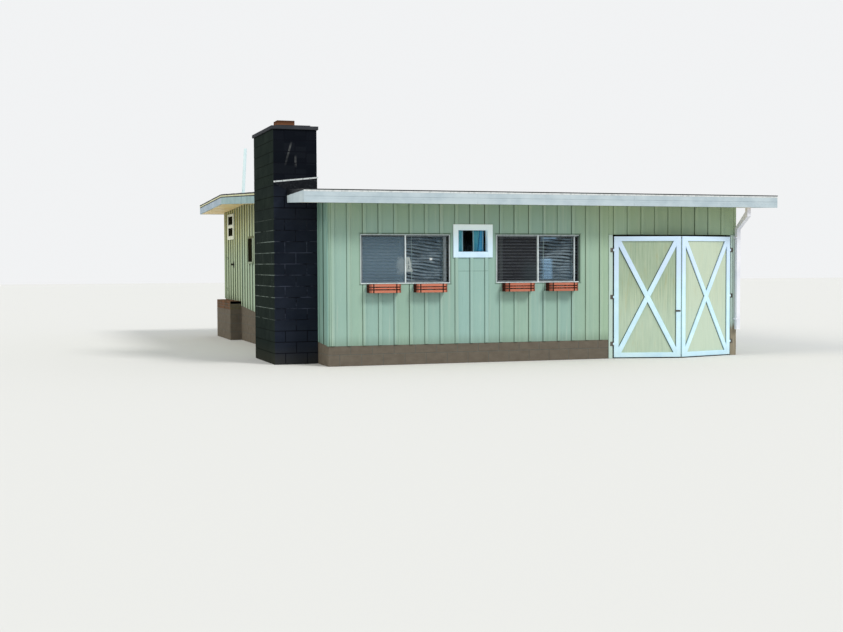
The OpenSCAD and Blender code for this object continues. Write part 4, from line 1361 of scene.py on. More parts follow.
def front_return():
    """The rake beside the chimney: a board whose top runs down to the stack, and felt dressed over it."""
    board, lap = Shape(), Shape()
    y0, y1 = FRONT_EDGE + 0.001, STACK[0][1] - 0.012
    corners = [(y0, soffit(y0) - 0.006), (y1, soffit(y1) - 0.004),
               (y1, soffit(y1) + 0.126), (y0, soffit(y0) + 0.206)]
    planks(board, corners, -0.002, 0.003, 0.0015, rake_face(-1))
    board.piece("return_board", FASCIA, "trim_white")
    u, v = grid(60, 12)
    y = y0 + (y1 - y0) * u
    foot = soffit(y) + 0.206 - 0.080 * u - 0.006 * np.sin(u * 23) * u
    z = foot + (soffit(y) + ROOF_DEPTH + 0.012 - foot) * v
    out = 0.0005 + 0.005 * creases(y, z, 9) * (1 - v)
    skin(lap, xyz(LEFT_EDGE - 0.0030 - np.minimum(out, 0.0025), y, z), xyz(LEFT_EDGE + 0.001, y, z))
    lap.piece("dressed_felt", TAR, "bitumen_flashing", smooth=True)


front_return()


def soffit_strips():
    """Cover strips under the joints of the soffit sheets, 1.22 m apart: front, left, right and back."""
    shape = Shape()
    x, y = np.arange(LEFT_EDGE + 0.93, RIGHT_EDGE - 0.33, 1.22), np.arange(3.4, BACK_EDGE - 0.4, 1.22)
    for outlines in (rectangles(x, FRONT_EDGE + 0.024, x + 0.04, -0.008),
                     rectangles(LEFT_EDGE + 0.024, y, -0.026, y + 0.04),
                     rectangles(WALL_LENGTH + 0.026, y, RIGHT_EDGE - 0.024, y + 0.04),
                     rectangles(x, WALL_DEPTH + 0.024, x + 0.04, BACK_EDGE - 0.024)):
        planks(shape, outlines, -0.002, 0.004, 0.001, soffit_face)
    shape.piece("soffit_strips", CREAM, "trim_white")


soffit_strips()

# %% [markdown]
# ## Blocks below the siding and the brick step
# The foundation and the step are masonry too: blocks 406 by 203 mm and bricks 203 by 57 mm, each
# in running bond with 10 mm joints. A course is one row of planks whose top corners are cut to
# the sloping foot of the siding.

# %% Foundation blocks and bricks
FOOTING = plain_masonry("foundation_paint", (128, 119, 106), (98, 90, 80), 0.008)
JOINTS = plain_masonry("grey_mortar", (118, 118, 110), (94, 94, 88), 0.004)
assign(JOINTS, "foundation_front", "foundation_left", "foundation_right", "foundation_back", "brick_step")
BED = 0.010
BRICK_COURSE = 0.067
BRICK_PITCH = 0.2132


def courses(shape, length, top, unit, course, place, seed, bevel=0.003):
    """Running bond along a wall: every second course starts with a half, and all are cut by top(u)."""
    chance = np.random.default_rng(seed)
    for k in range(math.ceil(float(np.max(top(np.array([0.0, length])))) / course)):
        ends = np.concatenate([[0.0], np.arange(unit / (2 - k % 2), length - 0.03, unit), [length]])
        low, high = ends[:-1] + BED / 2 * (ends[:-1] > 0), ends[1:] - BED / 2 * (ends[1:] < length)
        foot = np.full(len(low), k * course + BED / 2 * (k > 0))
        heads = [np.minimum((k + 1) * course - BED / 2, top(u) - 0.001) for u in (low, high)]
        keep = np.minimum(*heads) > foot + 0.015
        outline = outline_of((low, foot), (high, foot), (high, heads[1]), (low, heads[0]))
        for row in outline[keep]:
            planks(shape, row, -0.004, 0.0025 + chance.uniform(-0.0008, 0.0008), bevel, place)


def foundation_blocks():
    """The four foundation walls; the right one starts 0.2 m back, behind the door post."""
    shape, start = Shape(), 0.2
    courses(shape, WALL_END, level(SIDING_LOW - 0.002), BLOCK, COURSE, front_face, 41)
    courses(shape, WALL_DEPTH, lambda u: siding_base(u) - 0.003, BLOCK, COURSE, left_face, 42)
    courses(shape, WALL_DEPTH - start, lambda u: siding_base(u + start) - 0.003, BLOCK, COURSE,
            lambda u, v, w: right_face(u + start, v, w), 43)
    courses(shape, WALL_LENGTH, level(SIDING_HIGH - 0.002), BLOCK, COURSE, back_face, 44)
    shape.piece("foundation_blocks", FOOTING, "foundation_block")


foundation_blocks()


def brick_finish():
    """Dark red brick with a tone for each brick, sooty in places, and brown grey as painted shade on the
    near end.
    """
    brick = Finish("dark_brick", roughness=0.85, specular=0.04)
    y, z = brick.along("y"), brick.along("z")
    tone = brick.each(y / BRICK_PITCH + brick.each(z / BRICK_COURSE) * 31.0)
    clouds = brick.noise((0.3, 0.3, 0.2), detail=4)
    brick.tones(tone, (112, 82, 62), (138, 98, 74))
    brick.coat(brick.ease(clouds, 0.35, 0.7) * 0.75, 78, 74, 60)
    # Painted shade: the near end of the step is brown grey instead of red.
    brick.coat(brick.ease(y, 8.80, 8.70) * 0.85, 116, 112, 90)
    brick.bump(brick.noise(0.006, detail=3), 0.002, 0.7)
    return brick.set(Base_Color=brick.colour)


BRICK = brick_finish()


def step_bricks():
    """Blocks low down, then two courses of stretchers on three sides and a row of bricks on edge."""
    shape, lower = Shape(), Shape()
    (x0, y0, _), (x1, y1, top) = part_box("brick_step")
    base = top - 0.068 - 2 * BRICK_COURSE
    faces = ((y1 - y0, lambda u, v, w: xyz(x0 - w, y0 + u, v)),
             (x1 - x0, lambda u, v, w: xyz(x0 + u, y0 - w, v)),
             (x1 - x0, lambda u, v, w: xyz(x0 + u, y1 + w, v)))
    for k, (length, face) in enumerate(faces):
        courses(lower, length, level(base - 0.005), BLOCK, COURSE, face, 54 + k)
        courses(shape, length, level(2 * BRICK_COURSE), BRICK_PITCH, BRICK_COURSE, lifted(face, base),
                51 + k, 0.002)
    lower.piece("step_blocks", FOOTING, "foundation_block")
    y = np.arange(y0, y1 - 0.03, 0.066)
    span(shape, xyz(x0 - 0.003, y, top - 0.064), xyz(x1, np.minimum(y + 0.057, y1), top + 0.001), 0.002)
    shape.piece("step_bricks", BRICK, "brick_red")


step_bricks()
SCREED = plain_masonry("floor_screed", (134, 130, 122), (110, 107, 100), 0.006)
assign(SCREED, "room_floor", "rear_floor", "bay_floor")

# %% [markdown]
# ## Sliding windows
# Each window is a mill aluminium frame with two sashes that pass each other, and the right sash
# stands open by 60 mm. The outer frame is bright, while the sashes behind it are dull, partly from
# oxide and partly as painted shade. A metal drip strip shades the head, the blind behind has slats
# 50 mm wide on ladder tapes, and one sash has an insect screen in front. The blinds of the right
# sashes hang crooked: each slat is a thin skin whose height falls along its length in a slow wave.

# %% Glass, screen and slats
SLAT_PITCH = 0.058


def glass_finish():
    """Old window glass: mostly clear, with a bluish haze of painted reflection that is thicker in soft
    patches, pale painted reflections, a painted glint and a pale cloth behind.
    """
    glass = Finish("window_glass", roughness=0.06, specular=0.12)
    x, z = glass.along("x"), glass.along("z")
    # Painted reflection: a bluish haze in soft clouds, thickest on the first window's left sash and low on
    # the second window's right sash.
    haze_clouds = glass.noise((0.35, 0.35, 0.20), detail=4, bend=0.8)
    reflected_haze = glass.ease(x, 1.46, 1.42) * 0.46 + glass.ease(x, 4.0, 4.05) * glass.ease(z, 1.96, 1.72) * 0.12
    small = glass.band(x, 2.40, 2.44, 3.08, 3.12)
    # The patch is a pale blue painted reflection on the second window.
    patch = glass.band(x, 4.13, 4.20, 4.34, 4.38) * glass.band(z, 1.92, 1.90, 1.54, 1.52)
    across, up = (x - 1.37) / 0.13, (z - 1.79) / 0.20
    cloth = across * across + up * up + glass.noise(0.05, detail=4) * 1.8
    cloth = glass.ease(cloth, 2.0, 0.9)
    # A pale painted reflection on the first window's right sash.
    pale_reflection = glass.ease(x + (z - 1.94) * 0.22, 1.550, 1.530) * (x > 1.45)
    pale_reflection = pale_reflection * glass.band(z, 1.66, 1.69, 1.93, 1.96)
    pale_reflection = pale_reflection * glass.ease(glass.noise((0.03, 0.03, 0.05), detail=4), 0.30, 0.48)
    # A little more painted haze on the first window's right sash, and a small painted glint.
    hazy = glass.band(x, 1.45, 1.48, 2.20, 2.25) * 0.07
    spot = glass.band(x, 1.917, 1.922, 1.968, 1.973) * glass.band(z, 1.884, 1.888, 1.928, 1.932)
    amount = (reflected_haze + glass.ease(haze_clouds, 0.35, 0.75) * 0.12 + 0.03) * (1 - small * 0.75) + patch * 0.22
    amount = amount + cloth * 0.12 + pale_reflection * 0.55 + hazy + spot * 0.7
    glass.tones(patch, (108, 132, 148), (140, 176, 204))
    glass.coat(cloth * 0.3 + pale_reflection, 196, 206, 204)
    glass.coat(spot, 232, 236, 236)
    return glass.set(Base_Color=glass.colour, Alpha=amount, Roughness=haze_clouds * 0.08 + 0.02)


def pane_finish():
    """Panes on the left wall, almost black as painted shade for the dark room behind, with a brown bloom
    of dust.
    """
    pane = Finish("dark_pane", roughness=0.8, specular=0.0)
    bloom = pane.noise((0.08, 0.08, 0.12), detail=4)
    # Painted shade: near black for the dark room behind.
    return pane.set(Base_Color=pane.mix(pane.ease(bloom, 0.4, 0.7), paint(20, 22, 14), paint(46, 42, 28)))


def screen_finish():
    """A dark woven screen, dense enough to hide most of what is behind it."""
    screen = Finish("insect_screen", roughness=0.7, specular=0.0)
    x, z = screen.along("x"), screen.along("z")
    weave = screen.noise(0.004, detail=1)
    band = screen.band(screen.fraction(z / SLAT_PITCH), 0.30, 0.42, 0.70, 0.90)
    band = band * screen.noise((0.25, 0.25, 0.05), detail=3)
    screen.tones(band * 1.4, (46, 48, 52), (78, 81, 86))
    screen.coat(screen.band(x, 3.262, 3.274, 3.330, 3.342) * 0.5, 84, 90, 92)
    screen.coat(screen.ease(x, 3.62, 3.95) * screen.ease(z, 2.0, 1.7) * 0.4, 70, 84, 88)
    return screen.set(Base_Color=screen.colour, Alpha=weave * 0.16 + 0.78)


def slat_finish():
    """Dull white slats with dust; behind the right sashes greyer, in darker bands, as painted shade; a
    patch of painted light on the second window.
    """
    slat = Finish("blind_slat", roughness=0.5, specular=0.12)
    x, z = slat.along("x"), slat.along("z")
    dust = slat.ease(slat.noise((0.08, 0.03, 0.03), detail=4), 0.4, 0.7)
    slat.tones(dust, (200, 216, 226), (164, 176, 180))
    # Painted shade: the slats behind the right sashes are greyer, in darker bands of uneven light.
    right = slat.band(x, 1.44, 1.46, 2.3, 2.4) + slat.ease(x, 4.04, 4.06)
    slat.colour = slat.mix(right, slat.colour, slat.mix(dust, paint(140, 156, 166), paint(108, 120, 124)))
    band = slat.noise((0.30, 0.5, 0.13), detail=2)
    slat.coat(right * slat.ease(band, 0.46, 0.62) * 0.6, 46, 52, 58)
    lit = slat.band(x, 4.10, 4.22, 4.33, 4.37) * slat.ease(z, 1.94, 1.90)
    lit = lit + slat.band(x, 4.12, 4.2, 4.42, 4.5) * slat.ease(z, 2.24, 2.27)
    slat.coat(lit * 0.85, 176, 214, 244)
    return slat.set(Base_Color=slat.colour)


def window_finish():
    """Aluminium: bright outside; dull behind, partly oxide and partly painted shade; painted shade in the
    channels and on the top rail; one stile kept bright; one jamb sage in painted shade.
    """
    metal = Finish("window_aluminium", specular=0.3, metallic=0.25)
    x, y, z = metal.axes()
    stain = metal.ease(metal.noise((0.04, 0.04, 0.12), detail=4), 0.4, 0.7)
    bright = metal.mix(stain, paint(226, 236, 238, 0.9), paint(200, 213, 216, 0.9))
    dull = metal.mix(stain, paint(126, 137, 142), paint(98, 108, 110))
    # One stile of the right window is left bright.
    bright_stile = metal.band(x, 4.792, 4.796, 4.816, 4.820)
    # Painted shade, partly oxide: the metal behind the outer face is dull.
    metal.colour = metal.mix(metal.ease(y, 0.0174, 0.0178) * (1 - bright_stile * 0.85), bright, dull)
    # Painted shade in the channels inside each frame.
    for x0, x1, z0, z1 in WINDOWS:
        inner = metal.band(x, x0 + 0.013, x0 + 0.015, x1 - 0.015, x1 - 0.013)
        inner = inner * metal.band(z, z0 + 0.015, z0 + 0.017, z1 - 0.013, z1 - 0.011)
        cover = metal.band(x, x0 + 0.832, x0 + 0.834, x0 + 0.864, x0 + 0.866)
        inner = inner * (1 - cover) * metal.ease(y, 0.0176, 0.0172)
        metal.coat(inner * 0.8, 52, 62, 62)
    _, _, z0, z1 = WINDOWS[0]
    rail = metal.ease(y, 0.0172, 0.0176) * (y < 0.042)
    metal.coat(rail * metal.ease(z, z0 + 0.062, z0 + 0.058), 112, 128, 142)
    # Painted shade on the top rail, under the head.
    metal.coat(rail * metal.ease(z, z1 - 0.050, z1 - 0.046) * 0.8, 50, 58, 60)
    # The right jamb is sage, made dark as painted shade.
    painted = metal.mix(stain, paint(96, 120, 104), paint(80, 102, 90))
    metal.colour = metal.mix(metal.ease(x, 4.8765, 4.8785), metal.colour, painted)
    metal.bump(metal.noise((0.004, 0.004, 0.08)), 0.0004, 0.4)
    return metal.set(Base_Color=metal.colour, Roughness=stain * 0.2 + 0.42)


GLASS, SCREEN, SLAT, SASH = glass_finish(), screen_finish(), slat_finish(), window_finish()
CAULK = plain_masonry("sage_caulk", (120, 144, 130), (96, 118, 106), 0.01, rough=0.6)
PANE = pane_finish()
assign(GLASS, "window_glass")
assign(PANE, "side_door_glass")
assign(SASH, "front_window_left", "front_window_right")

# %% Drip strips, sills, covers and the screen
def window_trim():
    """Caulk at the sides, a drip strip at the head, a lip at the foot, covers on two stiles."""
    caulk, shape = Shape(), Shape()
    for (x0, x1, z0, z1), last in zip(WINDOWS, (1.643, 1.620)):
        sides = rectangles([x0 - FLANGE, x1], z0 - 0.004, [x0, x1 + FLANGE], z1)
        drip = rectangles(x0 - FLANGE, z1 + 0.0005, x1 + FLANGE, z1 + 0.012)
        lip = rectangles(x0 + 0.001, z0 - 0.0015, x1 - 0.001, z0 + 0.006)
        middle = rectangles(x0 + 0.836, z0 + 0.021, x0 + 0.862, z1 - 0.021)
        end = rectangles(x0 + 1.584, z0 + 0.021, x0 + last, z1 - 0.021)
        for target, outlines, back, front, bevel in (
                (caulk, sides, -0.001, 0.0045, 0.0015), (caulk, drip, -0.001, 0.020, 0.002),
                (shape, lip, -0.003, 0.010, 0.0015), (shape, middle, -0.0175, -0.0105, 0.0015),
                (shape, end, -0.0458, -0.0430, 0.0010)):
            planks(target, outlines, back, front, bevel, front_face)
    caulk.piece("window_caulk", CAULK, "siding_green")
    shape.piece("window_covers", SASH, "window_aluminium")


def insect_screen():
    """A mesh skin and its thin frame before the left sash of the second window."""
    bars, mesh = Shape(), Shape()
    start, _, foot, head = WINDOWS[1]
    x0, x1, z0, z1 = start + 0.024, start + 0.832, foot + 0.026, head - 0.024
    planks(bars, four_sides(x0, x1, z0, z1, 0.016), -0.0165, -0.009, 0.001, front_face)
    bars.piece("screen_frame", SASH, "window_aluminium")
    u, v = grid(20, 20, x0 + 0.006, x1 - 0.006, z0 + 0.006, z1 - 0.006)
    sag = 0.0012 * np.sin((u - x0) * 9) * np.sin((v - z0) * 7)
    skin(mesh, front_face(u, v, -0.0125 + sag), front_face(u, v, -0.0137 + sag))
    mesh.piece("insect_screen", SCREEN, "window_aluminium", smooth=True)


window_trim()
insect_screen()

# %% Blinds
def blinds():
    """Slats for each of the four sashes: z = row height - droop * share - wave, tilted by 58 degrees."""
    shape, cords = Shape(), Shape()
    styles = ((1.0200, 0.392, 0.006, 0.002, 0.0), (1.8825, 0.404, 0.070, 0.011, 1.1),
              (3.6220, 0.392, 0.004, 0.002, 0.0), (4.4845, 0.404, 0.020, 0.008, 2.2))
    chance = np.random.default_rng(61)
    share, across = np.linspace(0, 1, 24)[:, None], np.linspace(-1, 1, 4)
    for centre, reach, droop, wave, phase in styles:
        for row in range(14):
            middle = 2.300 - row * SLAT_PITCH - droop * share - wave * np.sin(share * 7.5 + row * 0.9 + phase)
            middle = np.maximum(middle + chance.normal(0, 0.0015), 1.500 + 0.003 * (13 - row))
            lean = math.radians(58) + chance.normal(0, 0.05) + 0.10 * np.sin(share * 5 + row)
            x = centre - reach + 2 * reach * share
            y = 0.112 + 0.025 * across * np.cos(lean) - 0.002 * (1 - across ** 2)
            z = middle + 0.025 * across * np.sin(lean)
            skin(shape, xyz(x, y, z), xyz(x, y + 0.0009, z))
        for cord_x in (centre - 0.30, centre + 0.29):
            span(cords, [cord_x - 0.005, 0.084, 1.50], [cord_x + 0.005, 0.0858, 2.325], 0.0003)
        span(cords, [centre - reach, 0.086, 2.318], [centre + reach, 0.130, 2.340], 0.002)
    made = shape.piece("blind_slats", SLAT, "blind_slats", smooth=True)
    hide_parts("window_blinds")
    cords.piece("ladder_tapes", white_finish("tape_cotton", (176, 196, 190), (140, 160, 158)), "blind_slats")


blinds()

# %% [markdown]
# ## The small window
# Two short teal curtains hang gathered inside a white surround. Each is a sheet: flat it is
# a third wider than it hangs, and the folds are a sine wave that grows deeper towards the hem.

# %% Curtains and the surround
def curtain_finish():
    """Teal cotton with a fine weave, paler and darker in streaks along the folds; pale hems, and the
    painted light and shade of one deep slanting fold.
    """
    cloth = Finish("teal_curtain", roughness=0.9, specular=0.1)
    weave = cloth.noise(0.002, detail=2)
    fade = cloth.noise((0.05, 0.05, 0.2), detail=3)
    x, z = cloth.along("x"), cloth.along("z")
    cloth.tones(cloth.ease(fade, 0.35, 0.7), (56, 158, 200), (84, 184, 220))
    fold = cloth.noise((0.035, 0.2, 0.9), detail=2)
    cloth.coat(cloth.ease(fold, 0.50, 0.66) * 0.5, 128, 190, 180)
    cloth.coat(cloth.ease(fold, 0.46, 0.32) * 0.6, 20, 96, 150)
    cloth.coat(cloth.band(x, 2.555, 2.570, 2.60, 2.70) * 0.7, 186, 226, 236)
    # Painted light and shade of one deep slanting fold: a dark crease with a duller side and a brighter side.
    slant = x - (z - 2.03) * 0.1
    cloth.coat(cloth.ease(x, 2.770, 2.776) * cloth.ease(slant, 2.866, 2.850) * 0.5, 84, 160, 166)
    cloth.coat(cloth.ease(slant, 2.878, 2.888) * 0.5, 84, 176, 226)
    deep = cloth.band(slant, 2.858, 2.867, 2.877, 2.886)
    cloth.coat(deep * 0.75, 16, 78, 128)
    hem = cloth.band(x, 2.774, 2.778, 2.796, 2.802) + cloth.band(x, 2.962, 2.966, 2.974, 2.978)
    cloth.coat(hem * 0.5, 196, 214, 206)
    cloth.bump(weave, 0.0006, 0.5)
    return cloth.set(Base_Color=cloth.colour)


TEAL = curtain_finish()


def curtain(name, x0, x1, folds):
    """A sheet of cotton, 1.2 mm thick: y = 98 mm + depth * sin(folds * turn), deepest at the hem."""
    shape = Shape()
    u, v = grid(8 * folds + 1, 12)
    depth = 0.0035 + 0.0045 * v
    x = x0 + (x1 - x0) * u + 0.004 * v * np.sin(u * folds * 6.28 + 0.8)
    y = 0.098 + depth * np.sin(u * folds * 2 * np.pi + 0.5 * np.sin(v * 3))
    z = 2.442 - 0.408 * v - 0.003 * np.sin(u * folds * 2 * np.pi) * v
    skin(shape, xyz(x, y, z), xyz(x, y + 0.0012, z))
    made = shape.piece(name, TEAL, "curtain_fabric", smooth=True)
    return made


left_curtain = curtain("curtain_left", 2.462, 2.580, 4)
curtain("curtain_right", 2.772, 2.986, 8)
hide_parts("small_window_curtains")


def surround():
    """Four white boards with soft edges around the small window, and a thin rod inside."""
    shape, rod = Shape(), Shape()
    planks(shape, four_sides(*small_trim, 0.088, 0.0015), 0.010, 0.0245, 0.003, front_face)
    shape.piece("small_window_surround", SURROUND, "trim_white")
    tube(rod, [[SMALL_X + shift, 0.098, 2.446] for shift in (-0.289, 0, 0.289)], 0.0035)
    rod.piece("curtain_rod", STEEL, "window_aluminium")


surround()

# %% Trim of the left wall's window and door
def side_window_finish():
    """White trim in painted shade: grey cream on the near upright and the sill, sage on the far upright,
    darker on the head.
    """
    trim = Finish("side_window_paint", roughness=0.6, specular=0.03)
    y, z = trim.along("y"), trim.along("z")
    clouds = trim.noise(0.1, detail=4)
    # Painted shade: the white trim is a dull grey cream, darker on the head and sage on the far upright.
    trim.tones(clouds, (172, 184, 160), (140, 154, 132))
    shaded_head, sage = (trim.mix(clouds, paint(*light), paint(*dark)) for light, dark in
                   (((128, 130, 94), (100, 104, 76)), ((124, 136, 106), (100, 114, 92))))
    trim.colour = trim.mix(trim.ease(z, 2.425, 2.435), trim.colour, shaded_head)
    trim.colour = trim.mix(trim.ease(y, 7.570, 7.592), trim.colour, sage)
    trim.bump(clouds, 0.001, 0.3)
    return trim.set(Base_Color=trim.colour)


DOOR_CREAM = white_finish("door_window_cream", (234, 236, 216), (206, 212, 188))
SIDE_TRIM = side_window_finish()
assign(SIDE_TRIM, "side_window")
assign(DOOR_CREAM, "side_door_window")


def side_trims():
    """A sill and a near-black screen of painted shade on the side window; a frame, a bar and a knob plate
    on the side door.
    """
    sill, trim, pane, plate = Shape(), Shape(), Shape(), Shape()
    y0, y1, z0, _ = side_trim
    planks(sill, rectangles(y0 + 0.001, z0 + 0.001, y1 - 0.001, z0 + 0.040), 0.0445, 0.0475, 0.002, left_face)
    sill.piece("side_window_sill", SIDE_TRIM, "trim_white")
    y0, y1, z0, z1 = opening("side_door_window", 1)
    near, far, low, high = opening("side_door_glass", 1)
    sides = [(y0 + 0.001, z0 + 0.001, near - 0.002, z1 - 0.001),
             (far + 0.002, z0 + 0.001, y1 - 0.001, z1 - 0.001),
             (near, z0 + 0.001, far, low - 0.002), (near, 2.747, far, 2.822),
             (near, high + 0.002, far, z1 - 0.001)]
    planks(trim, rectangles(*np.transpose(sides)), 0.018, 0.0225, 0.003, left_face)
    trim.piece("door_window_frame", DOOR_CREAM, "trim_white", "side_door")
    start, stop, foot, head = side_hole
    u, v = grid(12, 12, start + 0.002, stop - 0.002, foot + 0.002, head - 0.002)
    slack = 0.0015 * np.sin((u - start) * 7) * np.sin((v - foot) * 6)
    skin(pane, left_face(u, v, slack + 0.0345), left_face(u, v, slack + 0.0330))
    # The screen takes the near-black pane finish, painted shade for the dark room behind.
    pane.piece("side_window_screen", PANE, "window_aluminium", smooth=True)
    planks(plate, rectangles(9.658, 1.742, 9.702, 1.905), 0.013, 0.0195, 0.002, left_face)
    plate.piece("knob_plate", BRONZE, "knob_bronze", "side_door")


side_trims()


def side_door_battens():
    """Battens on the side door, at the wall's own pitch, under its window."""
    shape, nails = Shape(), Shape()
    starts = batten_starts(SIDE_DOOR[0][1] + 0.03, SIDE_DOOR[1][1] - 0.12, SIDE_RULE)
    low, high = level(SIDE_DOOR[0][2] + 0.004), level(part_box("side_door_window")[0][2] - 0.003)
    add_battens(shape, nails, starts, [], low, high, left_face, 71)
    shape.piece("side_door_battens", SAGE, "siding_green", "side_door")
    nails.piece("side_door_nails", SAGE, "siding_green", "side_door")


side_door_battens()
assign(SAGE, "side_door_leaf", "side_door_frame")

# %% [markdown]
# ## Planter boxes
# Four slatted boxes hang under the windows. They are stained a bright red orange that has faded on
# the slats, with painted shade on the ends, and two flat steel straps hold each box to the wall.

# %% Planter stain, straps and screws
def planter_finish(name):
    """Red orange stain, bright on the middle slat; painted shade at the gaps, at the ends, inside, and on
    the second window's boxes.
    """
    (x0, y0, z0), (x1, _, _) = planter_box(name)
    stain = Finish(name + "_stain", roughness=0.7, specular=0.06)
    x, y, z = stain.axes()
    grain = stain.noise((0.25, 0.02, 0.006), detail=4, bend=0.4)
    wear = stain.noise((0.10, 0.10, 0.03), detail=4)
    # Painted shade: the boxes under the second window are darker.
    shade = 1.0 if x0 < 3 else 0.86
    stain.tones(grain, (195, 111, 86), (225, 143, 118), 0.8 * shade)
    stain.coat(stain.ease(wear, 0.5, 0.75) * 0.5, 208, 146, 124)
    middle = stain.band(z, z0 + 0.061, z0 + 0.064, z0 + 0.094, z0 + 0.097)
    stain.coat(middle * 0.6, 236, 137, 110, 0.8 * shade)
    # Painted shade: dark lines at the gaps between the slats, and the inside near black.
    inner = stain.ease(y, y0 + 0.010, y0 + 0.014)
    lines = stain.band(z, z0 + 0.041, z0 + 0.045, z0 + 0.068, z0 + 0.072)
    lines = lines + stain.band(z, z0 + 0.087, z0 + 0.091, z0 + 0.111, z0 + 0.115)
    stain.coat(lines * 0.6, 92, 44, 34)
    # Painted shade on the ends of each box, wider at the left under the second window.
    wide = 0.040 if x0 < 3 else 0.080
    ends = stain.ease(x, x0 + wide + 0.006, x0 + wide) + stain.ease(x, x1 - 0.036, x1 - 0.030)
    stain.coat(inner * 0.96, 30, 12, 10)
    stain.coat(ends * 0.50, 84, 40, 30)
    stain.bump(grain, 0.0012, 0.5)
    return stain.set(Base_Color=stain.colour)


def planter_slats(name):
    """One open box: three slats in front and behind, two ends, a floor and two posts a side."""
    shape = Shape()
    (x0, y0, z0), (x1, y1, z1) = planter_box(name)
    foot = z0 + np.array([0, 0.066, 0.108])
    head = z0 + np.array([0.048, 0.092, z1 - z0])
    for face in (y0, y1 - 0.016):
        planks(shape, rectangles(x0, foot, x1, head), -(face + 0.014), -face, 0.0015, front_face)
    for x in (x0 + 0.001, x1 - 0.023):
        span(shape, [x, y0 + 0.012, z0 + 0.001], [x + 0.022, y1 - 0.014, z1 - 0.001], 0.001)
    span(shape, [x0 + 0.020, y0 + 0.012, z0 + 0.001], [x1 - 0.020, y1 - 0.014, z0 + 0.014], 0.001)
    for x in x0 + (x1 - x0) * np.array([0.30, 0.66]):
        span(shape, [x, y0 + 0.012, z0 + 0.002], [x + 0.026, y0 + 0.022, z1 - 0.002], 0.001)
        span(shape, [x, y1 - 0.018, z0 + 0.002], [x + 0.026, y1 - 0.002, z1 - 0.002], 0.001)
    made = shape.piece(name + "_slats", planter_finish(name), "planter_red")
    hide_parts(name)


for planter in PLANTERS:
    planter_slats(planter)


STRAP = plain_masonry("strap_rust", (64, 42, 34), (38, 26, 22), 0.006, rough=0.6)


def planter_straps():
    """Two straps a box: down the front at 0.12 and 0.85 of its length, under its foot and over its edge."""
    straps, screws = Shape(), Shape()
    for name in PLANTERS:
        (x0, y0, z0), (x1, _, z1) = planter_box(name)
        for x in x0 + (x1 - x0) * np.array([0.115, 0.845]):
            lows = xyz(x, y0 - 0.0024, np.array([z0 - 0.0024, z0 - 0.0024, z1 - 0.010]))
            highs = xyz(x + 0.022, np.array([y0 - 0.0002, -0.004, y0 + 0.030]),
                        np.array([z1 - 0.008, z0 - 0.0002, z1 + 0.0018]))
            span(straps, lows, highs, 0.0006)
            turned(screws, xyz(x + 0.011, y0 - 0.0022, z0 + np.array([0.030, 0.126])), SCREW, (0, -1, 0))
        heights = z0 + np.array([0.016, 0.036, 0.079, 0.120, 0.142])
        x, z = np.meshgrid([x0 + 0.010, x1 - 0.010], heights, indexing="ij")
        turned(screws, xyz(x, y0 + 0.0004, z).reshape(-1, 3), NAIL, (0, -1, 0))
    straps.piece("planter_straps", STRAP, "hinge_steel")
    screws.piece("planter_screws", STRAP, "hinge_steel")


planter_straps()

# %% [markdown]
# ## The boat doors
# Each leaf is a grooved plywood panel under white boards: two stiles, two rails and a cross whose
# one brace runs through while the other is cut in half at the crossing. The dressing adds the
# bevelled faces of those boards, with real gaps where they meet, and their screws. Seen from its
# hinge, the left leaf's whole brace falls away from the hinge, as in the photo.

# %% Door finishes
def door_finish(body):
    """Yellow green paint on plywood, partly painted sunlight: close upright streaks, ochre where it is
    thin, pale lower down.

    A thin dark line of painted shadow lies along the left of every board. It is measured in the leaf's
    own plane: q across from the middle and r up from the middle; a brace's edge is q * s + r * c = half.
    """
    door = Finish(body + "_panel", specular=0.06)
    x, y, z = door.axes()
    side = 1 if body == "boat_door_left" else -1
    wide, tall = LEAF_WIDTH - 2 * LEAF_BOARD - LEAF_START, LEAF_HEIGHT - 2 * LEAF_BOARD
    u = (x - LEAF_PINS[body]) * (side * math.cos(LEAF_ANGLE)) - (y + PIN_OUT) * math.sin(LEAF_ANGLE)
    q, r = (u - (LEAF_START + LEAF_WIDTH) / 2) * side, z - (LEAF_FOOT + LEAF_HEIGHT / 2)
    long = math.hypot(wide, tall)
    falling = q * (-tall / long) - r * (wide / long)
    rising = q * (-tall / long) + r * (wide / long)
    board_shadow = 0
    for distance, edge in ((falling, LEAF_BOARD / 2), (rising, LEAF_BOARD / 2), (q, wide / 2 - 0.013)):
        board_shadow = door.ease(distance, edge + 0.019, edge + 0.011) * (distance > edge - 0.001) + board_shadow
    streak = door.noise((0.016, 0.2, 0.5), detail=5, rough=0.65, bend=0.15)
    broad = door.noise((0.12, 0.3, 0.9), detail=3)
    door.colour = door.shades(streak, (0.25, paint(150, 171, 142)), (0.45, paint(186, 203, 172)),
                              (0.60, paint(202, 215, 184)), (0.8, paint(214, 208, 168)))
    door.coat(broad * 0.35, 180, 208, 196)
    thin = door.ease(door.noise((0.05, 0.2, 0.35), detail=4), 0.55, 0.75)
    door.coat(thin * 0.30, 190, 180, 118)
    # Painted sunlight: paler towards the right.
    door.coat(door.ease(x, 6.9, 7.1) * 0.5, 224, 236, 216)
    # Painted shade: darker high on the left leaf.
    door.coat(door.ease(z, 1.15, 1.6) * door.ease(x, 7.1, 6.9) * 0.24, 136, 160, 134)
    door.coat(door.ease(z, 1.3, 0.7) * 0.35, 212, 232, 214)
    door.coat(door.ease(z + broad * 0.2, 0.26, 0.08) * 0.3, 158, 164, 130)
    # Painted shadow along the left of every board.
    door.coat(board_shadow * 0.85, 50, 72, 72)
    door.bump(streak, 0.0015, 0.6)
    return door.set(Base_Color=door.colour, Roughness=broad * 0.2 + 0.5)


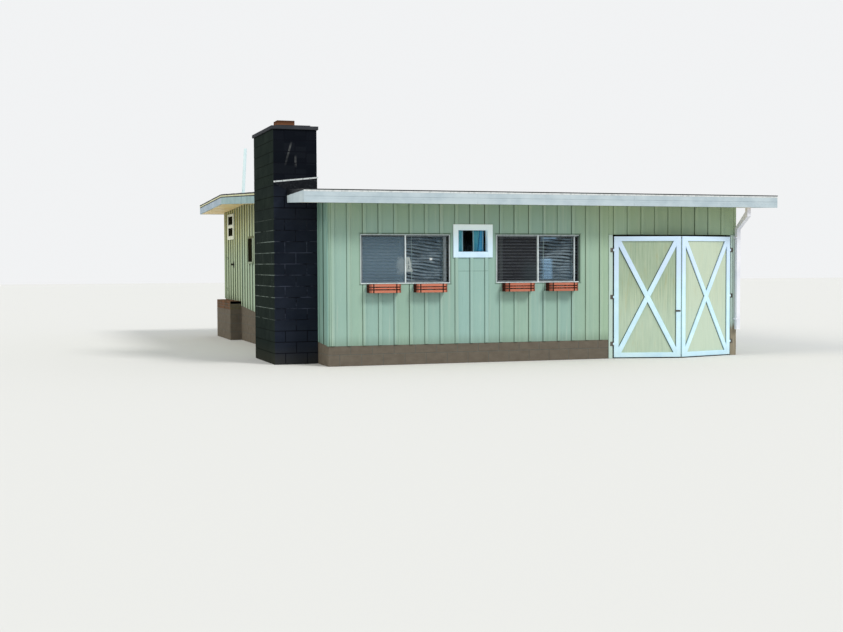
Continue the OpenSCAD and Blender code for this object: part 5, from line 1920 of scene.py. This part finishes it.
def post_finish():
    """Sage posts with upright joints; the right one is bare brown wood below about 0.7 m."""
    post = Finish("door_post", specular=0.06)
    x, z = post.along("x"), post.along("z")
    grain = post.noise((0.010, 0.010, 0.4), detail=4)
    post.tones(grain, (190, 214, 204), (212, 232, 222))
    joint = post.band(x, 8.188, 8.191, 8.197, 8.200) + post.band(x, 8.238, 8.241, 8.245, 8.248)
    post.coat(joint * 0.6, 84, 100, 84)
    bare = post.ease(z + grain * 0.30, 0.80, 0.66) * post.ease(x, 8.0, 8.1)
    wood = post.shades(grain, (0.3, paint(128, 118, 100)), (0.7, paint(178, 168, 146)))
    post.bump(grain, 0.0014, 0.5)
    return post.set(Base_Color=post.mix(bare, post.colour, wood))


POST = post_finish()
for leaf in ("boat_door_left", "boat_door_right"):
    assign(door_finish(leaf), leaf + "_panel")
assign(POST, "door_posts")
assign(white_finish("vent_plastic", (226, 246, 248), (210, 232, 236), share=1.0), "vent_pipe")


def leaf_outlines():
    """Outlines of stiles, rails, the whole brace and the two half braces, in the leaf's own plane."""
    u0, u1, v1 = LEAF_START + LEAF_BOARD, LEAF_WIDTH - LEAF_BOARD, LEAF_HEIGHT - LEAF_BOARD
    half, gap = LEAF_BOARD / 2, 0.0012
    size = wide, tall = np.array([u1 - u0, v1 - LEAF_BOARD])
    c, s = size / math.hypot(wide, tall)
    top = LEAF_HEIGHT - 0.001
    stiles = rectangles([LEAF_START + 0.001, u1 + gap], 0.001, [u0 - gap, LEAF_WIDTH - 0.001], top)
    rails = rectangles(u0 + gap, [0.001, v1 + gap], u1 - gap, [LEAF_BOARD - gap, top])
    rising = np.array([[0, 0], [half / s, 0], [wide, tall - half / c],
                       size, [wide - half / s, tall], [0, half / c]])
    falling = (rising * [1, -1] + [0, tall])[::-1]
    cross = size / 2
    part = np.array([[0, 0], [half / s, 0], cross + [0, -half / c], cross + [-half / s, 0], [0, half / c]])
    braces = [moved_in(outline, gap) + [u0, LEAF_BOARD] for outline in (falling, part, size - part)]
    return stiles, rails, braces


def door_boards(body, name):
    """Bevelled faces on the white boards of one leaf, and screws at their ends."""
    shape, screws = Shape(), Shape()
    place = leaf_face(body)
    stiles, rails, braces = leaf_outlines()
    for outlines, front in ((stiles, 0.0022), (rails, 0.0020), *((brace, 0.0024) for brace in braces)):
        planks(shape, outlines, -0.006, front, 0.0020, place)
    shape.piece(name + "_boards", DOOR_WHITE, "trim_white", body)
    foot, head = 0.045, LEAF_HEIGHT - 0.045
    groups = ((0.03, 0.08), (LEAF_WIDTH - 0.065, LEAF_WIDTH - 0.02), (LEAF_WIDTH / 2,))
    spots = [(u, v) for group in groups for v in (foot, head) for u in group]
    spots += [(u, v) for u in (0.055, LEAF_WIDTH - 0.045) for v in (0.75, 1.55)]
    u, v = np.transpose(spots)
    turned(screws, place(u, v, 0.0020), SCREW, facing(place))
    screws.piece(name + "_screws", DOOR_WHITE, "trim_white", body)


door_boards("boat_door_left", "left_leaf")
door_boards("boat_door_right", "right_leaf")

# %% Floor
floor_shape = bpy.data.meshes.new("pale_floor")
floor_corners = [(-90, -90, -0.002), (110, -90, -0.002), (110, 110, -0.002), (-90, 110, -0.002)]
floor_shape.from_pydata(floor_corners, [], [(0, 1, 2, 3)])
floor_finish = Finish("pale_floor", roughness=0.9, specular=0.1)
floor_shape.materials.append(floor_finish.set(Base_Color=(0.64, 0.635, 0.62, 1)))
floor = bpy.data.objects.new("pale_floor", floor_shape)
bpy.context.scene.collection.objects.link(floor)
